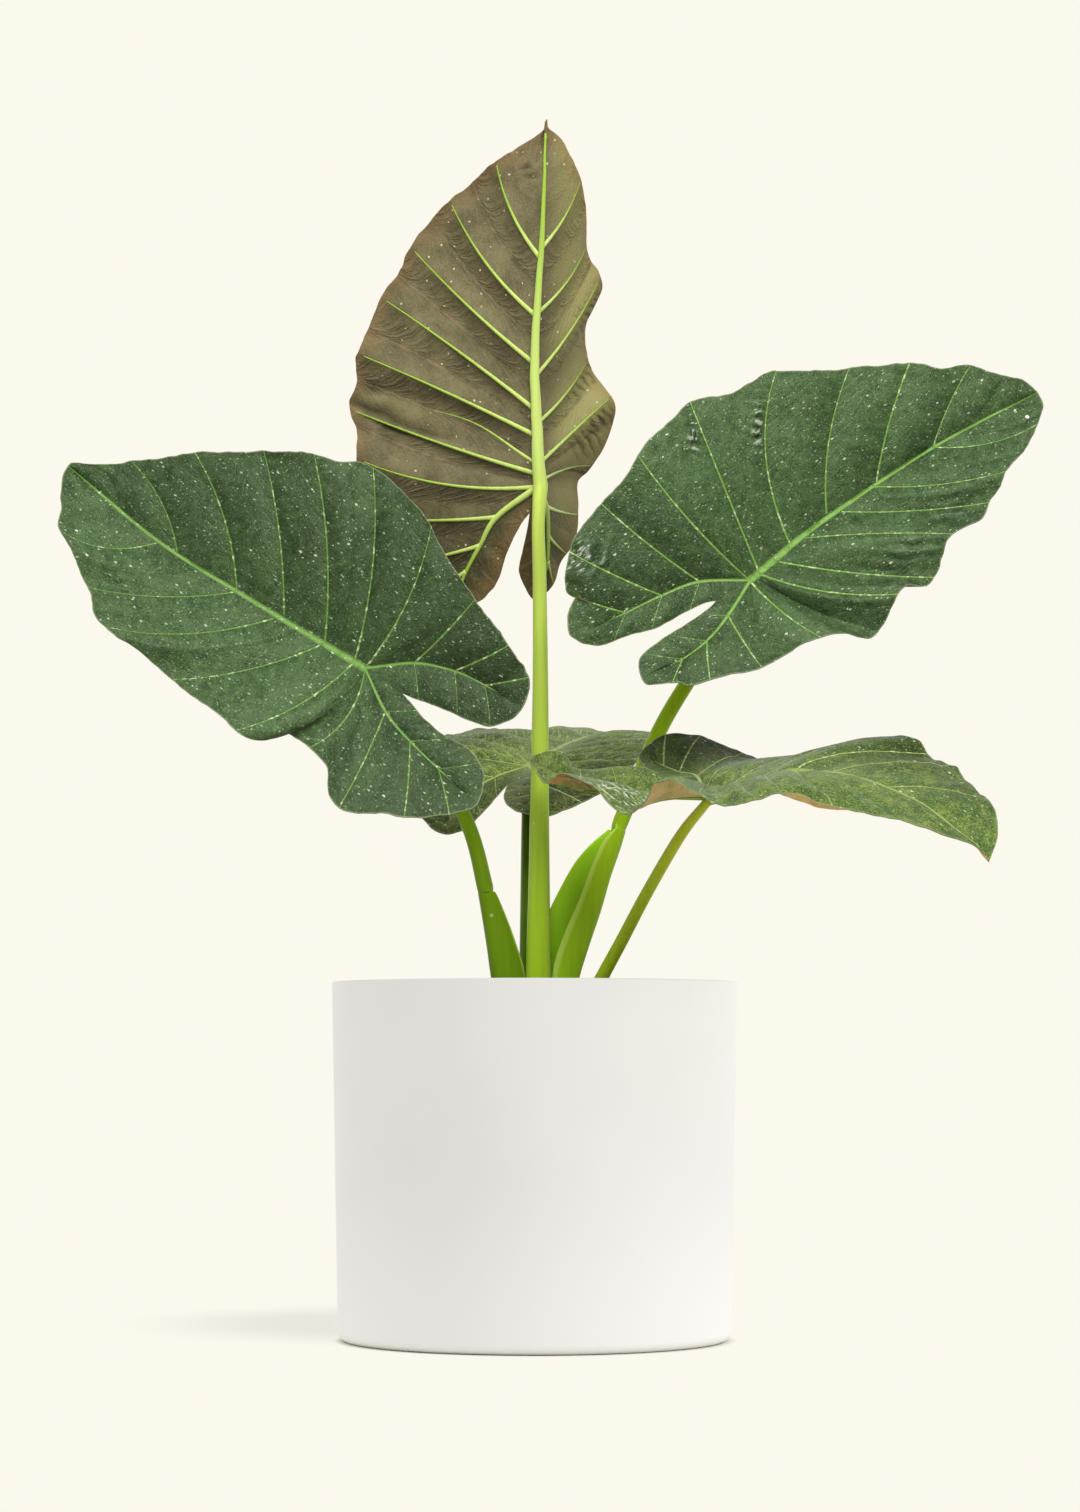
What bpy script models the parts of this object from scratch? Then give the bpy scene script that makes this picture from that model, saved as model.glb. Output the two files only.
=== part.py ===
"""Potted regal shields alocasia: a plain cylinder pot, its soil, the corm, and five shield-shaped
leaves, each a dark waved blade with a bright green stalk that runs on as the ribs under the blade.

The origin is the middle of the pot's underside. +Z is up and the best side faces -Y.
Every length below is in millimetres and is turned into metres where the meshes are made.
"""
import math

import bmesh
import bpy
import numpy as np
from mathutils import Vector

MM = 0.001

# Pot
POT_HEIGHT = 262.0
POT_TOP_RADIUS = 150.0
POT_BASE_RADIUS = 144.5
POT_WALL = 7.0
POT_FLOOR = 12.0
POT_FOOT_ROUND = 7.0
POT_LIP_ROUND = 1.6
POT_SIDES = 48

# Soil and corm
SOIL_LEVEL = 226.0
SOIL_MOUND = 6.0
SOIL_EDGE = 10.0
SOIL_STEPS = 3
HOLE_SINK = 3.0
SOIL_SIDES = 32
HOLE_SIDES = 14
CORM_CENTRE = (6.0, 2.0)
CORM_TOP = 186.0
CORM_RADIUS = 34.0
CORM_DEPTH = 46.0
CORM_SIDES = 20

# Fits
GAP = 0.35
RIB_GAP = 0.50
HOLE_GAP = 0.6
WELD = 0.01

# Blades and ribs
BLADE_THICKNESS = 1.0
BLADE_COLUMNS = 5
ROW_BOW = 0.11
LOBE_ROW_BOW = 0.02
CAMBER = 0.03
FRONT_SWELL = 2.2
LOBE_SWELL = 1.0
SLOPE_ROWS = 0.35
SLOPE_SHARE = 0.08
LOBE_SLOPE_SHARE = 0.12
RIB_POINTS = 4
RIB_FIRST = 0.08
RIB_REACH = 0.88
RIB_HALF_WIDTH = 1.7
RIB_DEPTH = 2.4
RIB_TIP_SHARE = 0.40
LOBE_RIB_SIZE = 1.25
LOBE_RIB_EXTRA = 0.25
MIDRIB_REACH = 0.90
MIDRIB_TAPER = 0.78
MIDRIB_SQUASH = 0.9
MIDRIB_STATIONS = 7
RING_POINTS = 10
STALK_STEPS = 2
SHEATH_OPENS = 5.0
WING_ROOT = 1.8
WING_EDGE = 0.9

GREEN_BLADE = (0.030, 0.070, 0.035)
GREEN_STALK = (0.300, 0.480, 0.040)
WHITE_POT = (0.780, 0.775, 0.765)
BROWN_SOIL = (0.050, 0.033, 0.022)
BROWN_CORM = (0.180, 0.110, 0.060)

# The leaves. Places on a blade are (along, across, lift): along the midrib from where the stalk
# joins it, outwards from the midrib, and out of the blade's plane on its upper face along lift_way.
# Each side lists its ribs from the tip down as (root on the midrib, along, across, lift), where
# the last three are the rib's end on the margin. Then come the places across the basal lobe as
# (point on the lobe's own rib, outer margin, inner margin), and the lobe's end.
# A stalk lists (x, y, z, radius, wing, wing) from the corm up. The wings are the heights of the
# two edges of its open sheath, and open_side is the way the sheath faces.
LEAVES = {
    "tall_leaf": {
        "junction": (1.6, 12.0, 635.1),
        "tip_direction": (0.025, -0.060, 0.998),
        "face": (0.0, 0.998, 0.060),
        "lift_way": (0.0, 0.977, 0.211),
        "midrib": [(0, 0, 0), (100, 5, -2), (200, 1, 0), (272, 0, 4)],
        "notch": (-20, 5, 4),
        "right": {
            "ribs": [
                (236, 262, 15, 5), (174, 247, 37, 8), (130, 216, 72, 16), (95, 180, 101, 22),
                (60, 140, 123, 20), (36, 97, 139, 14), (12, 55, 144, 24), (0, 18, 137, 12),
            ],
            "lobe": [
                ((-24, 30, 4), (-28, 131, 18), (-34, 13, 4)),
                ((-46, 42, 5), (-62, 107, 16), (-62, 24, 6)),
                ((-66, 52, 7), (-84, 82, 14), (-82, 35, 8)),
            ],
            "lobe_end": ((-78, 56, 8), (-92, 59, 10)),
        },
        "left": {
            "ribs": [
                (240, 257, 17, 14), (185, 236, 27, 30), (134, 187, 34, 62), (88, 156, 46, 70),
                (52, 104, 36, 96), (22, 63, 58, 84), (6, 18, 43, 98), (0, -20, 32, 84),
            ],
            "lobe": [
                ((-18, 7, 8), (-44, 30, 66), (-34, -6, 8)),
                ((-38, 9, 18), (-60, 19, 50), (-53, -10, 14)),
                ((-58, 9, 24), (-76, 14, 40), (-72, -9, 20)),
            ],
            "lobe_end": ((-72, 6, 28), (-88, 1, 32)),
        },
        "open_side": (0.10, 0.99, 0.0),
        "stalk": [
            (2.6, -12, 186.4, 8.8, 0, 0), (2.6, -12, 238, 9.2, 0, 0), (2.6, -12, 270, 9.1, 0, 0),
            (3.2, -11, 330, 8.0, 0, 0), (3.6, -10, 395, 7.1, 0, 0), (4.2, -7, 480, 5.9, 0, 0),
            (3.6, -2, 560, 5.2, 0, 0), (2.6, 0, 605, 4.9, 0, 0),
        ],
        "midrib_radius": 4.4,
    },
    "left_leaf": {
        "junction": (-124.1, -55.0, 490.3),
        "tip_direction": (-0.793, 0.237, 0.562),
        "face": (-0.096, -0.959, 0.268),
        "lift_way": (0.078, -0.988, -0.129),
        "midrib": [(0, 0, 0), (100, -6, 0), (190, -9, 0), (288, 0, -2)],
        "notch": (-35, 0, 2),
        "right": {
            "ribs": [
                (235, 272, 13, 4), (172, 250, 30, 8), (125, 212, 62, 20), (78, 171, 93, 24),
                (38, 138, 112, 34), (12, 95, 129, 30), (0, 30, 115, 36),
            ],
            "lobe": [
                ((-27, 24, 4), (-32, 89, 24), (-48, 3, 3)),
                ((-55, 36, 6), (-74, 75, 22), (-78, 10, 5)),
                ((-80, 40, 7), (-101, 62, 16), (-102, 18, 7)),
            ],
            "lobe_end": ((-94, 41, 8), (-113, 40, 12)),
        },
        "left": {
            "ribs": [
                (240, 274, 25, 6), (190, 257, 44, 14), (115, 210, 68, 16), (78, 180, 85, 28),
                (38, 112, 89, 20), (10, 48, 92, 34), (0, -4, 72, 14),
            ],
            "lobe": [
                ((-33, 18, 3), (-50, 94, 30), (-52, 3, 3)),
                ((-62, 26, 5), (-94, 74, 20), (-85, 8, 5)),
                ((-92, 31, 6), (-119, 53, 18), (-113, 12, 6)),
            ],
            "lobe_end": ((-112, 34, 8), (-131, 34, 12)),
        },
        "open_side": (0.80, -0.60, 0.0),
        "stalk": [
            (-20, 2, 186.4, 7.4, 0, 0), (-20, 2, 236, 7.9, 0, 0), (-21, 2, 248, 8.0, 12, 11),
            (-25, 1, 266, 7.6, 17, 16), (-29, 1, 290, 7.0, 15, 14), (-33, 2, 312, 6.5, 11, 10),
            (-35, 2, 323, 6.3, 8, 8), (-37, 2, 333, 6.1, 0, 0),
            (-50, 3, 380, 5.5, 0, 0), (-82, 4, 438, 5.3, 0, 0), (-111, -16, 474, 5.0, 0, 0),
        ],
        "midrib_radius": 4.2,
    },
    "right_leaf": {
        "junction": (158.4, -45.0, 556.6),
        "tip_direction": (0.817, 0.230, 0.529),
        "face": (0.096, -0.959, 0.268),
        "lift_way": (-0.090, -0.984, -0.151),
        "midrib": [(0, 0, 0), (75, -9, 0), (180, -13, 0), (278, -7, -2)],
        "notch": (-31, 0, 2),
        "right": {
            "ribs": [
                (230, 267, 10, 4), (182, 245, 24, 8), (125, 211, 36, 18), (92, 180, 52, 14),
                (62, 150, 51, 30), (44, 112, 74, 20), (32, 88, 68, 38), (18, 56, 84, 22),
                (0, 18, 64, 32),
            ],
            "lobe": [
                ((-30, 14, 3), (-32, 61, 16), (-47, 3, 3)),
                ((-55, 22, 5), (-70, 48, 18), (-76, 4, 5)),
                ((-78, 24, 7), (-95, 35, 12), (-99, 6, 7)),
            ],
            "lobe_end": ((-92, 22, 8), (-112, 21, 11)),
        },
        "left": {
            "ribs": [
                (235, 266, 30, 6), (180, 247, 52, 12), (122, 208, 79, 22), (78, 167, 99, 26),
                (42, 118, 126, 36), (12, 48, 140, 34), (0, -10, 126, 40),
            ],
            "lobe": [
                ((-32, 19, 3), (-56, 108, 28), (-52, 5, 3)),
                ((-62, 25, 5), (-98, 89, 24), (-84, 8, 5)),
                ((-92, 28, 7), (-120, 62, 16), (-113, 14, 7)),
            ],
            "lobe_end": ((-112, 30, 9), (-136, 36, 12)),
        },
        "open_side": (-0.88, -0.47, 0.0),
        "stalk": [
            (20, 8, 186.4, 7.4, 0, 0), (20, 8, 236, 7.8, 0, 0), (22, 8, 248, 7.6, 12, 14),
            (27, 9, 268, 6.8, 18, 27), (35, 11, 292, 6.3, 18, 31), (44, 13, 318, 6.1, 17, 32),
            (51, 14, 342, 6.0, 15, 27), (58, 15, 362, 5.9, 13, 20), (62, 16, 375, 5.9, 8, 9),
            (65, 17, 384, 5.9, 0, 0),
            (93, 18, 450, 5.8, 0, 0), (119, 8, 494, 5.6, 0, 0), (145, -18, 535, 5.2, 0, 0),
        ],
        "midrib_radius": 4.2,
    },
    "low_leaf": {
        "junction": (122.7, -95.0, 392.7),
        "tip_direction": (0.745, -0.631, -0.219),
        "face": (-0.017, -0.346, 0.938),
        "lift_way": (0.0, 0.0, 1.0),
        "midrib": [(0, 0, 0), (40, 1, 16), (80, 2, 32), (130, 2, 38), (190, 1, 29), (246, 0, 4)],
        "notch": (-32, 0, 3),
        "right": {
            "ribs": [
                (212, 231, 14, 13), (172, 208, 38, 24), (130, 178, 62, 37), (92, 144, 84, 47),
                (55, 100, 98, 34), (20, 52, 102, 43), (0, 5, 92, 10),
            ],
            "lobe": [
                ((-24, 20, 1), (-27, 86, 14), (-46, 4, 6)),
                ((-50, 36, 2), (-62, 80, 19), (-78, 12, 5)),
                ((-76, 46, 3), (-90, 73, 6), (-98, 24, 3)),
            ],
            "lobe_end": ((-98, 46, 8), (-127, 52, 13)),
        },
        "left": {
            "ribs": [
                (222, 240, 15, 12), (190, 228, 37, 20), (150, 200, 58, 23), (114, 166, 76, 28),
                (80, 128, 90, 36), (46, 85, 98, 31), (18, 40, 98, 18), (0, 4, 92, 11),
            ],
            "lobe": [
                ((-26, 22, 6), (-32, 86, 8), (-46, 3, 4)),
                ((-52, 30, 3), (-72, 73, 20), (-74, 9, 4)),
                ((-76, 34, 3), (-99, 53, 12), (-98, 17, 4)),
            ],
            "lobe_end": ((-90, 34, 4), (-108, 32, 6)),
        },
        "open_side": (-0.95, 0.10, 0.0),
        "stalk": [
            (39, -4, 186.4, 5.6, 0, 0), (39, -4, 236, 5.8, 0, 0), (43, -7, 252, 5.2, 0, 0),
            (51, -13, 268, 4.9, 0, 0), (64, -25, 292, 4.7, 0, 0), (83, -46, 328, 4.4, 0, 0),
            (106, -73, 367, 4.1, 0, 0),
        ],
        "midrib_radius": 3.7,
    },
    "back_leaf": {
        "junction": (-5.5, 113.0, 432.4),
        "tip_direction": (0.33, 0.90, 0.28),
        "face": (-0.09, -0.25, 0.92),
        "lift_way": (0.0, 0.0, 1.0),
        "midrib": [(0, 0, 0), (80, 0, -1), (160, 0, -8), (242, 0, -24)],
        "notch": (-50, 0, -4),
        "right": {
            "ribs": [
                (205, 228, 16, -20), (155, 210, 40, -20), (108, 178, 66, -14), (70, 142, 88, -12),
                (35, 98, 102, -4), (10, 50, 104, -3), (0, 4, 92, 2),
            ],
            "lobe": [
                ((-26, 18, -2), (-40, 84, -7), (-60, 4, -3)),
                ((-52, 28, -4), (-76, 70, -14), (-78, 9, -4)),
                ((-76, 32, -7), (-100, 52, -18), (-97, 16, -7)),
            ],
            "lobe_end": ((-92, 32, -10), (-112, 32, -12)),
        },
        "left": {
            "ribs": [
                (205, 228, 16, -17), (155, 212, 40, -10), (108, 178, 66, -6), (70, 142, 88, 4),
                (35, 98, 102, 8), (10, 50, 104, 15), (0, 4, 92, 12),
            ],
            "lobe": [
                ((-26, 18, -3), (-40, 84, 6), (-60, 4, -10)),
                ((-52, 28, -9), (-76, 70, -6), (-78, 10, -20)),
                ((-76, 32, -17), (-98, 54, -14), (-98, 18, -28)),
            ],
            "lobe_end": ((-92, 32, -22), (-112, 32, -26)),
        },
        "open_side": (0.0, -1.0, 0.0),
        "stalk": [
            (-5, 19, 186.4, 6.8, 0, 0), (-5, 19, 238, 7.0, 0, 0), (-5, 26, 280, 6.5, 0, 0),
            (-5, 44, 330, 5.9, 0, 0), (-5, 72, 380, 5.4, 0, 0), (-5, 97, 412, 4.9, 0, 0),
        ],
        "midrib_radius": 3.9,
    },
}


def catmull(points, t):
    """The point at t, counted in points, on a smooth curve through all of them."""
    points = np.asarray(points, float)
    last = len(points) - 1
    k = min(max(int(math.floor(t)), 0), last - 1)
    u = t - k
    p1, p2 = points[k], points[k + 1]
    p0 = points[k - 1] if k > 0 else 2 * p1 - p2
    p3 = points[k + 2] if k + 2 <= last else 2 * p2 - p1
    return 0.5 * (2 * p1 + (p2 - p0) * u + (2 * p0 - 5 * p1 + 4 * p2 - p3) * u * u
                  + (3 * p1 - p0 - 3 * p2 + p3) * u ** 3)


def unit(vector):
    vector = np.asarray(vector, float)
    return vector / np.linalg.norm(vector)


class Leaf:
    """One blade's surface, read in leaf coordinates and placed in the plant."""

    def __init__(self, data):
        self.data = data
        self.origin = np.asarray(data["junction"], float)
        self.tip_way = unit(data["tip_direction"])
        face = np.asarray(data["face"], float)
        self.face = unit(face - self.tip_way * face.dot(self.tip_way))
        self.across = np.cross(self.tip_way, self.face)
        self.lift_way = unit(data["lift_way"])
        self.midrib = np.asarray(data["midrib"], float)
        self.length = self.midrib[-1][0]
        self.halves = {side: self.make_half(side) for side in ("right", "left")}

    def world(self, place):
        """A place on the blade, across counted to the right, as world millimetres."""
        along, across, lift = place
        return self.origin + self.tip_way * along + self.across * across + self.lift_way * lift

    def midrib_at(self, along):
        """The midrib's place, by its distance from the junction."""
        stations = self.midrib[:, 0]
        k = int(np.searchsorted(stations, along, side="right")) - 1
        k = min(max(k, 0), len(stations) - 2)
        t = k + (along - stations[k]) / (stations[k + 1] - stations[k])
        place = catmull(self.midrib, t)
        place[0] = along
        return place

    def make_half(self, side):
        """Lists of row roots and row ends, from the tip round the lobe to the notch."""
        sign = 1.0 if side == "right" else -1.0
        half = self.data[side]

        def signed(place):
            return np.array([place[0], sign * place[1], place[2]], float)

        tip = self.midrib[-1]
        front_roots = [self.length] + [rib[0] for rib in half["ribs"]]
        spine = [np.zeros(3)] + [signed(row[0]) for row in half["lobe"]]
        spine.append(signed(half["lobe_end"][0]))
        ends = [tip] + [signed(rib[1:]) for rib in half["ribs"]]
        ends += [signed(row[1]) for row in half["lobe"]]
        ends.append(signed(half["lobe_end"][1]))
        ends += [signed(row[2]) for row in reversed(half["lobe"])]
        ends.append(np.asarray(self.data["notch"], float))
        return {"front_roots": np.array(front_roots, float), "spine": np.array(spine),
                "ends": np.array(ends)}

    def front_rows(self, side):
        return len(self.halves[side]["front_roots"]) - 1

    def row_of_root(self, side, along):
        """The row number whose root is that far along the midrib."""
        roots = self.halves[side]["front_roots"]
        return float(np.interp(-along, -roots, np.arange(len(roots))))

    def root(self, side, t):
        half = self.halves[side]
        front = self.front_rows(side)
        if t <= front:
            along = float(np.interp(t, np.arange(front + 1), half["front_roots"]))
            return self.midrib_at(along)
        turn = len(half["spine"]) - 1
        q = t - front
        return catmull(half["spine"], q if q <= turn else 2 * turn - q)

    def surface(self, side, t, v):
        """The blade's upper face at row t, a share v of the way from rib to margin."""
        start = self.root(side, t)
        end = catmull(self.halves[side]["ends"], t)
        reach = np.linalg.norm(end - start)
        bow = ROW_BOW if t < self.front_rows(side) else LOBE_ROW_BOW
        hump = 4 * v * (1 - v)
        place = start + (end - start) * v
        place[0] -= bow * reach * hump
        between = math.sin(math.pi * (t % 1.0))
        place[2] += self.swell(side, t) * between * math.sin(math.pi * v ** 0.8)
        place[2] += CAMBER * reach * hump
        return place

    def swell(self, side, t):
        """How far the blade stands up between two ribs."""
        return FRONT_SWELL if 1.0 < t <= self.front_rows(side) else LOBE_SWELL

    def normal(self, side, t, v):
        """The upper face's unit normal in world axes, level across a rib."""
        before = self.world(self.surface(side, t - SLOPE_ROWS, v))
        after = self.world(self.surface(side, t + SLOPE_ROWS, v))
        inward = self.world(self.surface(side, t, max(v - SLOPE_SHARE, 0.0)))
        outward = self.world(self.surface(side, t, min(v + SLOPE_SHARE, 1.0)))
        cross = np.cross(after - before, outward - inward)
        return unit(cross if cross.dot(self.face) > 0 else -cross)

    def lobe_rib_at(self, side, q, depth):
        """A point that far under the lobe's own rib, and the upper face's normal there."""
        half = self.halves[side]
        front, turn = self.front_rows(side), len(half["spine"]) - 1
        rows = (front + q, front + 2 * turn - q)
        normals = [self.normal(side, t, LOBE_SLOPE_SHARE) for t in rows]
        up = unit(normals[0] + normals[1])
        return self.world(catmull(half["spine"], q)) - up * depth, up


def material(name, colour, roughness):
    made = bpy.data.materials.new(name)
    made.use_nodes = True
    shader = made.node_tree.nodes["Principled BSDF"]
    shader.inputs["Base Color"].default_value = (*colour, 1.0)
    shader.inputs["Roughness"].default_value = roughness
    return made


def mesh_object(name, mesh_data, finish, sharp_angle=40.0):
    """A new object from a bmesh, shaded smooth where it is round."""
    bmesh.ops.recalc_face_normals(mesh_data, faces=mesh_data.faces)
    mesh = bpy.data.meshes.new(name)
    mesh_data.to_mesh(mesh)
    mesh_data.free()
    mesh.materials.append(finish)
    mesh.shade_smooth()
    mesh.set_sharp_from_angle(angle=math.radians(sharp_angle))
    made = bpy.data.objects.new(name, mesh)
    bpy.context.scene.collection.objects.link(made)
    return made


def turned(name, profile, sides, finish, centre=(0.0, 0.0), sharp_angle=40.0):
    """A solid spun round the vertical axis from (radius, height) points that start and end on it."""
    shape = bmesh.new()
    points = [shape.verts.new((radius * MM, 0.0, height * MM)) for radius, height in profile]
    edges = [shape.edges.new(pair) for pair in zip(points, points[1:])]
    bmesh.ops.spin(shape, geom=points + edges, cent=(0, 0, 0), axis=(0, 0, 1),
                   angle=math.tau, steps=sides, use_duplicate=False)
    bmesh.ops.remove_doubles(shape, verts=shape.verts, dist=WELD * MM)
    bmesh.ops.translate(shape, verts=shape.verts, vec=(centre[0] * MM, centre[1] * MM, 0.0))
    return mesh_object(name, shape, finish, sharp_angle)


def arc(centre, radius, start, stop, steps):
    """Points on a round stretch of a profile, angles in degrees."""
    angles = [math.radians(start + (stop - start) * k / steps) for k in range(steps + 1)]
    return [(centre[0] + radius * math.cos(a), centre[1] + radius * math.sin(a)) for a in angles]


def pot_inner_radius(height):
    return POT_BASE_RADIUS + (POT_TOP_RADIUS - POT_BASE_RADIUS) * height / POT_HEIGHT - POT_WALL


def make_pot(finish):
    foot = arc((POT_BASE_RADIUS - POT_FOOT_ROUND, POT_FOOT_ROUND), POT_FOOT_ROUND, -90, 0, 4)
    outer_lip = arc((POT_TOP_RADIUS - POT_LIP_ROUND, POT_HEIGHT - POT_LIP_ROUND),
                    POT_LIP_ROUND, 0, 90, 2)
    inner_lip = arc((pot_inner_radius(POT_HEIGHT) + POT_LIP_ROUND, POT_HEIGHT - POT_LIP_ROUND),
                    POT_LIP_ROUND, 90, 180, 2)
    profile = [(0.0, 0.0)] + foot + outer_lip + inner_lip
    profile += [(pot_inner_radius(POT_FLOOR), POT_FLOOR), (0.0, POT_FLOOR)]
    return turned("pot", profile, POT_SIDES, finish)


def corm_profile(grow):
    """The corm's outline, or with grow the cavity round it."""
    low = CORM_TOP - CORM_DEPTH
    shape = [(0.0, low - grow), (0.55, low - grow), (0.92, low + 0.3 * CORM_DEPTH),
             (1.0, low + 0.62 * CORM_DEPTH), (0.9, CORM_TOP - 5.0), (0.78, CORM_TOP + grow),
             (0.0, CORM_TOP + grow)]
    return [(share * CORM_RADIUS + (grow if share else 0.0), height) for share, height in shape]


def make_soil(finish):
    """The potting mix: it fills the pot, and each stalk stands in its own plain hole."""
    bottom = POT_FLOOR + GAP
    profile = [(0.0, bottom), (pot_inner_radius(bottom) - GAP, bottom),
               (pot_inner_radius(SOIL_LEVEL) - GAP, SOIL_LEVEL - 1.0)]
    edge = pot_inner_radius(SOIL_LEVEL) - SOIL_EDGE
    for k in range(SOIL_STEPS + 1):
        share = k / SOIL_STEPS
        profile.append((edge * (1 - share), SOIL_LEVEL + SOIL_MOUND * share ** 0.7))
    soil = turned("soil", profile, SOIL_SIDES, finish)
    cutters = bpy.data.collections.new("soil_cutters")
    bpy.context.scene.collection.children.link(cutters)
    cavity = turned("corm_cavity", corm_profile(GAP), CORM_SIDES, finish, CORM_CENTRE)
    holes = [cavity]
    bottom = CORM_TOP - HOLE_SINK
    top = SOIL_LEVEL + SOIL_MOUND + HOLE_SINK
    for data in LEAVES.values():
        x, y = data["stalk"][0][:2]
        radius = max(data["stalk"][0][3], data["stalk"][1][3]) + HOLE_GAP
        profile = [(0.0, bottom), (radius, bottom), (radius, top), (0.0, top)]
        holes.append(turned("hole", profile, HOLE_SIDES, finish, (x, y)))
    for hole in holes:
        bpy.context.scene.collection.objects.unlink(hole)
        cutters.objects.link(hole)
    join_or_cut(soil, cutters, "DIFFERENCE")
    return soil


def join_or_cut(target, collection, operation):
    """One Boolean with a whole collection, applied, and the collection's objects removed."""
    cut = target.modifiers.new("cut", "BOOLEAN")
    cut.operation = operation
    cut.operand_type = "COLLECTION"
    cut.collection = collection
    cut.solver = "EXACT"
    bpy.context.view_layer.update()
    evaluated = target.evaluated_get(bpy.context.evaluated_depsgraph_get())
    mesh = bpy.data.meshes.new_from_object(evaluated)
    target.modifiers.remove(cut)
    target.data = mesh
    for part in list(collection.objects):
        bpy.data.objects.remove(part)
    bpy.data.collections.remove(collection)


def make_corm(finish):
    return turned("corm", corm_profile(0.0), CORM_SIDES, finish, CORM_CENTRE)


def make_blade(name, leaf, finish):
    """The waved sheet, split into triangles and then made thick, alike on both faces."""
    sheet = bmesh.new()
    stations = {float(root) for side in leaf.halves for root in leaf.halves[side]["front_roots"]}
    front = sorted(stations, reverse=True)
    for side, half in leaf.halves.items():
        rows = [leaf.row_of_root(side, along) for along in front]
        first, last = leaf.front_rows(side), len(half["ends"]) - 1
        rows += [first + 0.5 * k for k in range(1, 2 * (last - first) + 1)]
        grid = []
        for t in rows:
            places = [leaf.surface(side, t, k / BLADE_COLUMNS) for k in range(BLADE_COLUMNS + 1)]
            grid.append([sheet.verts.new(Vector(leaf.world(place)) * MM) for place in places])
        for upper, lower in zip(grid, grid[1:]):
            for k in range(BLADE_COLUMNS):
                corners = [upper[k], upper[k + 1], lower[k + 1], lower[k]]
                sheet.faces.new(corners if side == "left" else corners[::-1])
    bmesh.ops.remove_doubles(sheet, verts=sheet.verts, dist=2 * WELD * MM)
    bmesh.ops.triangulate(sheet, faces=sheet.faces)
    bmesh.ops.recalc_face_normals(sheet, faces=sheet.faces)
    facing = sum((face.normal * face.calc_area() for face in sheet.faces), Vector())
    if facing.dot(Vector(leaf.face)) < 0:
        bmesh.ops.reverse_faces(sheet, faces=sheet.faces)
    mesh = bpy.data.meshes.new(name)
    sheet.to_mesh(mesh)
    sheet.free()
    mesh.materials.append(finish)
    mesh.shade_smooth()
    blade = bpy.data.objects.new(name, mesh)
    bpy.context.scene.collection.objects.link(blade)
    thick = blade.modifiers.new("thickness", "SOLIDIFY")
    thick.thickness = BLADE_THICKNESS * MM
    thick.offset = -1.0
    return blade


def tube(name, rings, finish):
    """A closed solid through rings of world points, all with the same count."""
    shape = bmesh.new()
    loops = [[shape.verts.new(Vector(point) * MM) for point in ring] for ring in rings]
    count = len(loops[0])
    for lower, upper in zip(loops, loops[1:]):
        for k in range(count):
            j = (k + 1) % count
            shape.faces.new((lower[k], lower[j], upper[j], upper[k]))
    shape.faces.new(loops[0][::-1])
    shape.faces.new(loops[-1])
    bmesh.ops.triangulate(shape, faces=shape.faces)
    return mesh_object(name, shape, finish, sharp_angle=60.0)


def round_section(radius, count):
    """A round section, its points in the same order as a channel's."""
    turns = [math.pi + math.tau * k / count for k in range(count)]
    return np.array([(radius * math.cos(a), radius * math.sin(a)) for a in turns])


def channel_section(radius, wings):
    """An open sheath's section: a round back, two thin wings towards +y, a channel between."""
    outer, inner = [], []
    for sign, wing in zip((-1.0, 1.0), wings):
        outer.append([(sign * (radius - 0.04 * wing), wing), (sign * (radius + 0.02 * wing), wing / 2),
                      (sign * radius, 0.0), (sign * radius * 0.7, -radius * 0.7)])
        inner.append([(sign * (radius - 0.04 * wing - WING_EDGE), wing - 0.3),
                      (sign * (radius - WING_ROOT), wing / 2), (sign * radius * 0.45, 0.3 * radius)])
    left, right = outer
    points = left + [(0.0, -radius)] + right[::-1] + inner[1] + [(0.0, 0.2 * radius)] + inner[0][::-1]
    return np.array(points)


def stalk_section(radius, wings, count):
    """The section at one place on a stalk, which opens smoothly into its sheath."""
    shape = round_section(radius, count)
    open_share = min(max(wings) / SHEATH_OPENS, 1.0)
    if open_share > 0.0:
        wings = [max(wing, SHEATH_OPENS / 2) for wing in wings]
        shape = shape * (1 - open_share) + channel_section(radius, wings) * open_share
    return shape


def midrib_radius(leaf, along):
    return leaf.data["midrib_radius"] * (1 - MIDRIB_TAPER * along / leaf.length)


def midrib_centre(leaf, along):
    """The middle of the rib under the blade, and the way that is up there."""
    normals = [leaf.normal(side, leaf.row_of_root(side, along), SLOPE_SHARE)
               for side in leaf.halves]
    up = unit(normals[0] + normals[1])
    depth = BLADE_THICKNESS + RIB_GAP + MIDRIB_SQUASH * midrib_radius(leaf, along)
    return leaf.world(leaf.midrib_at(along)) - up * depth, up


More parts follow.
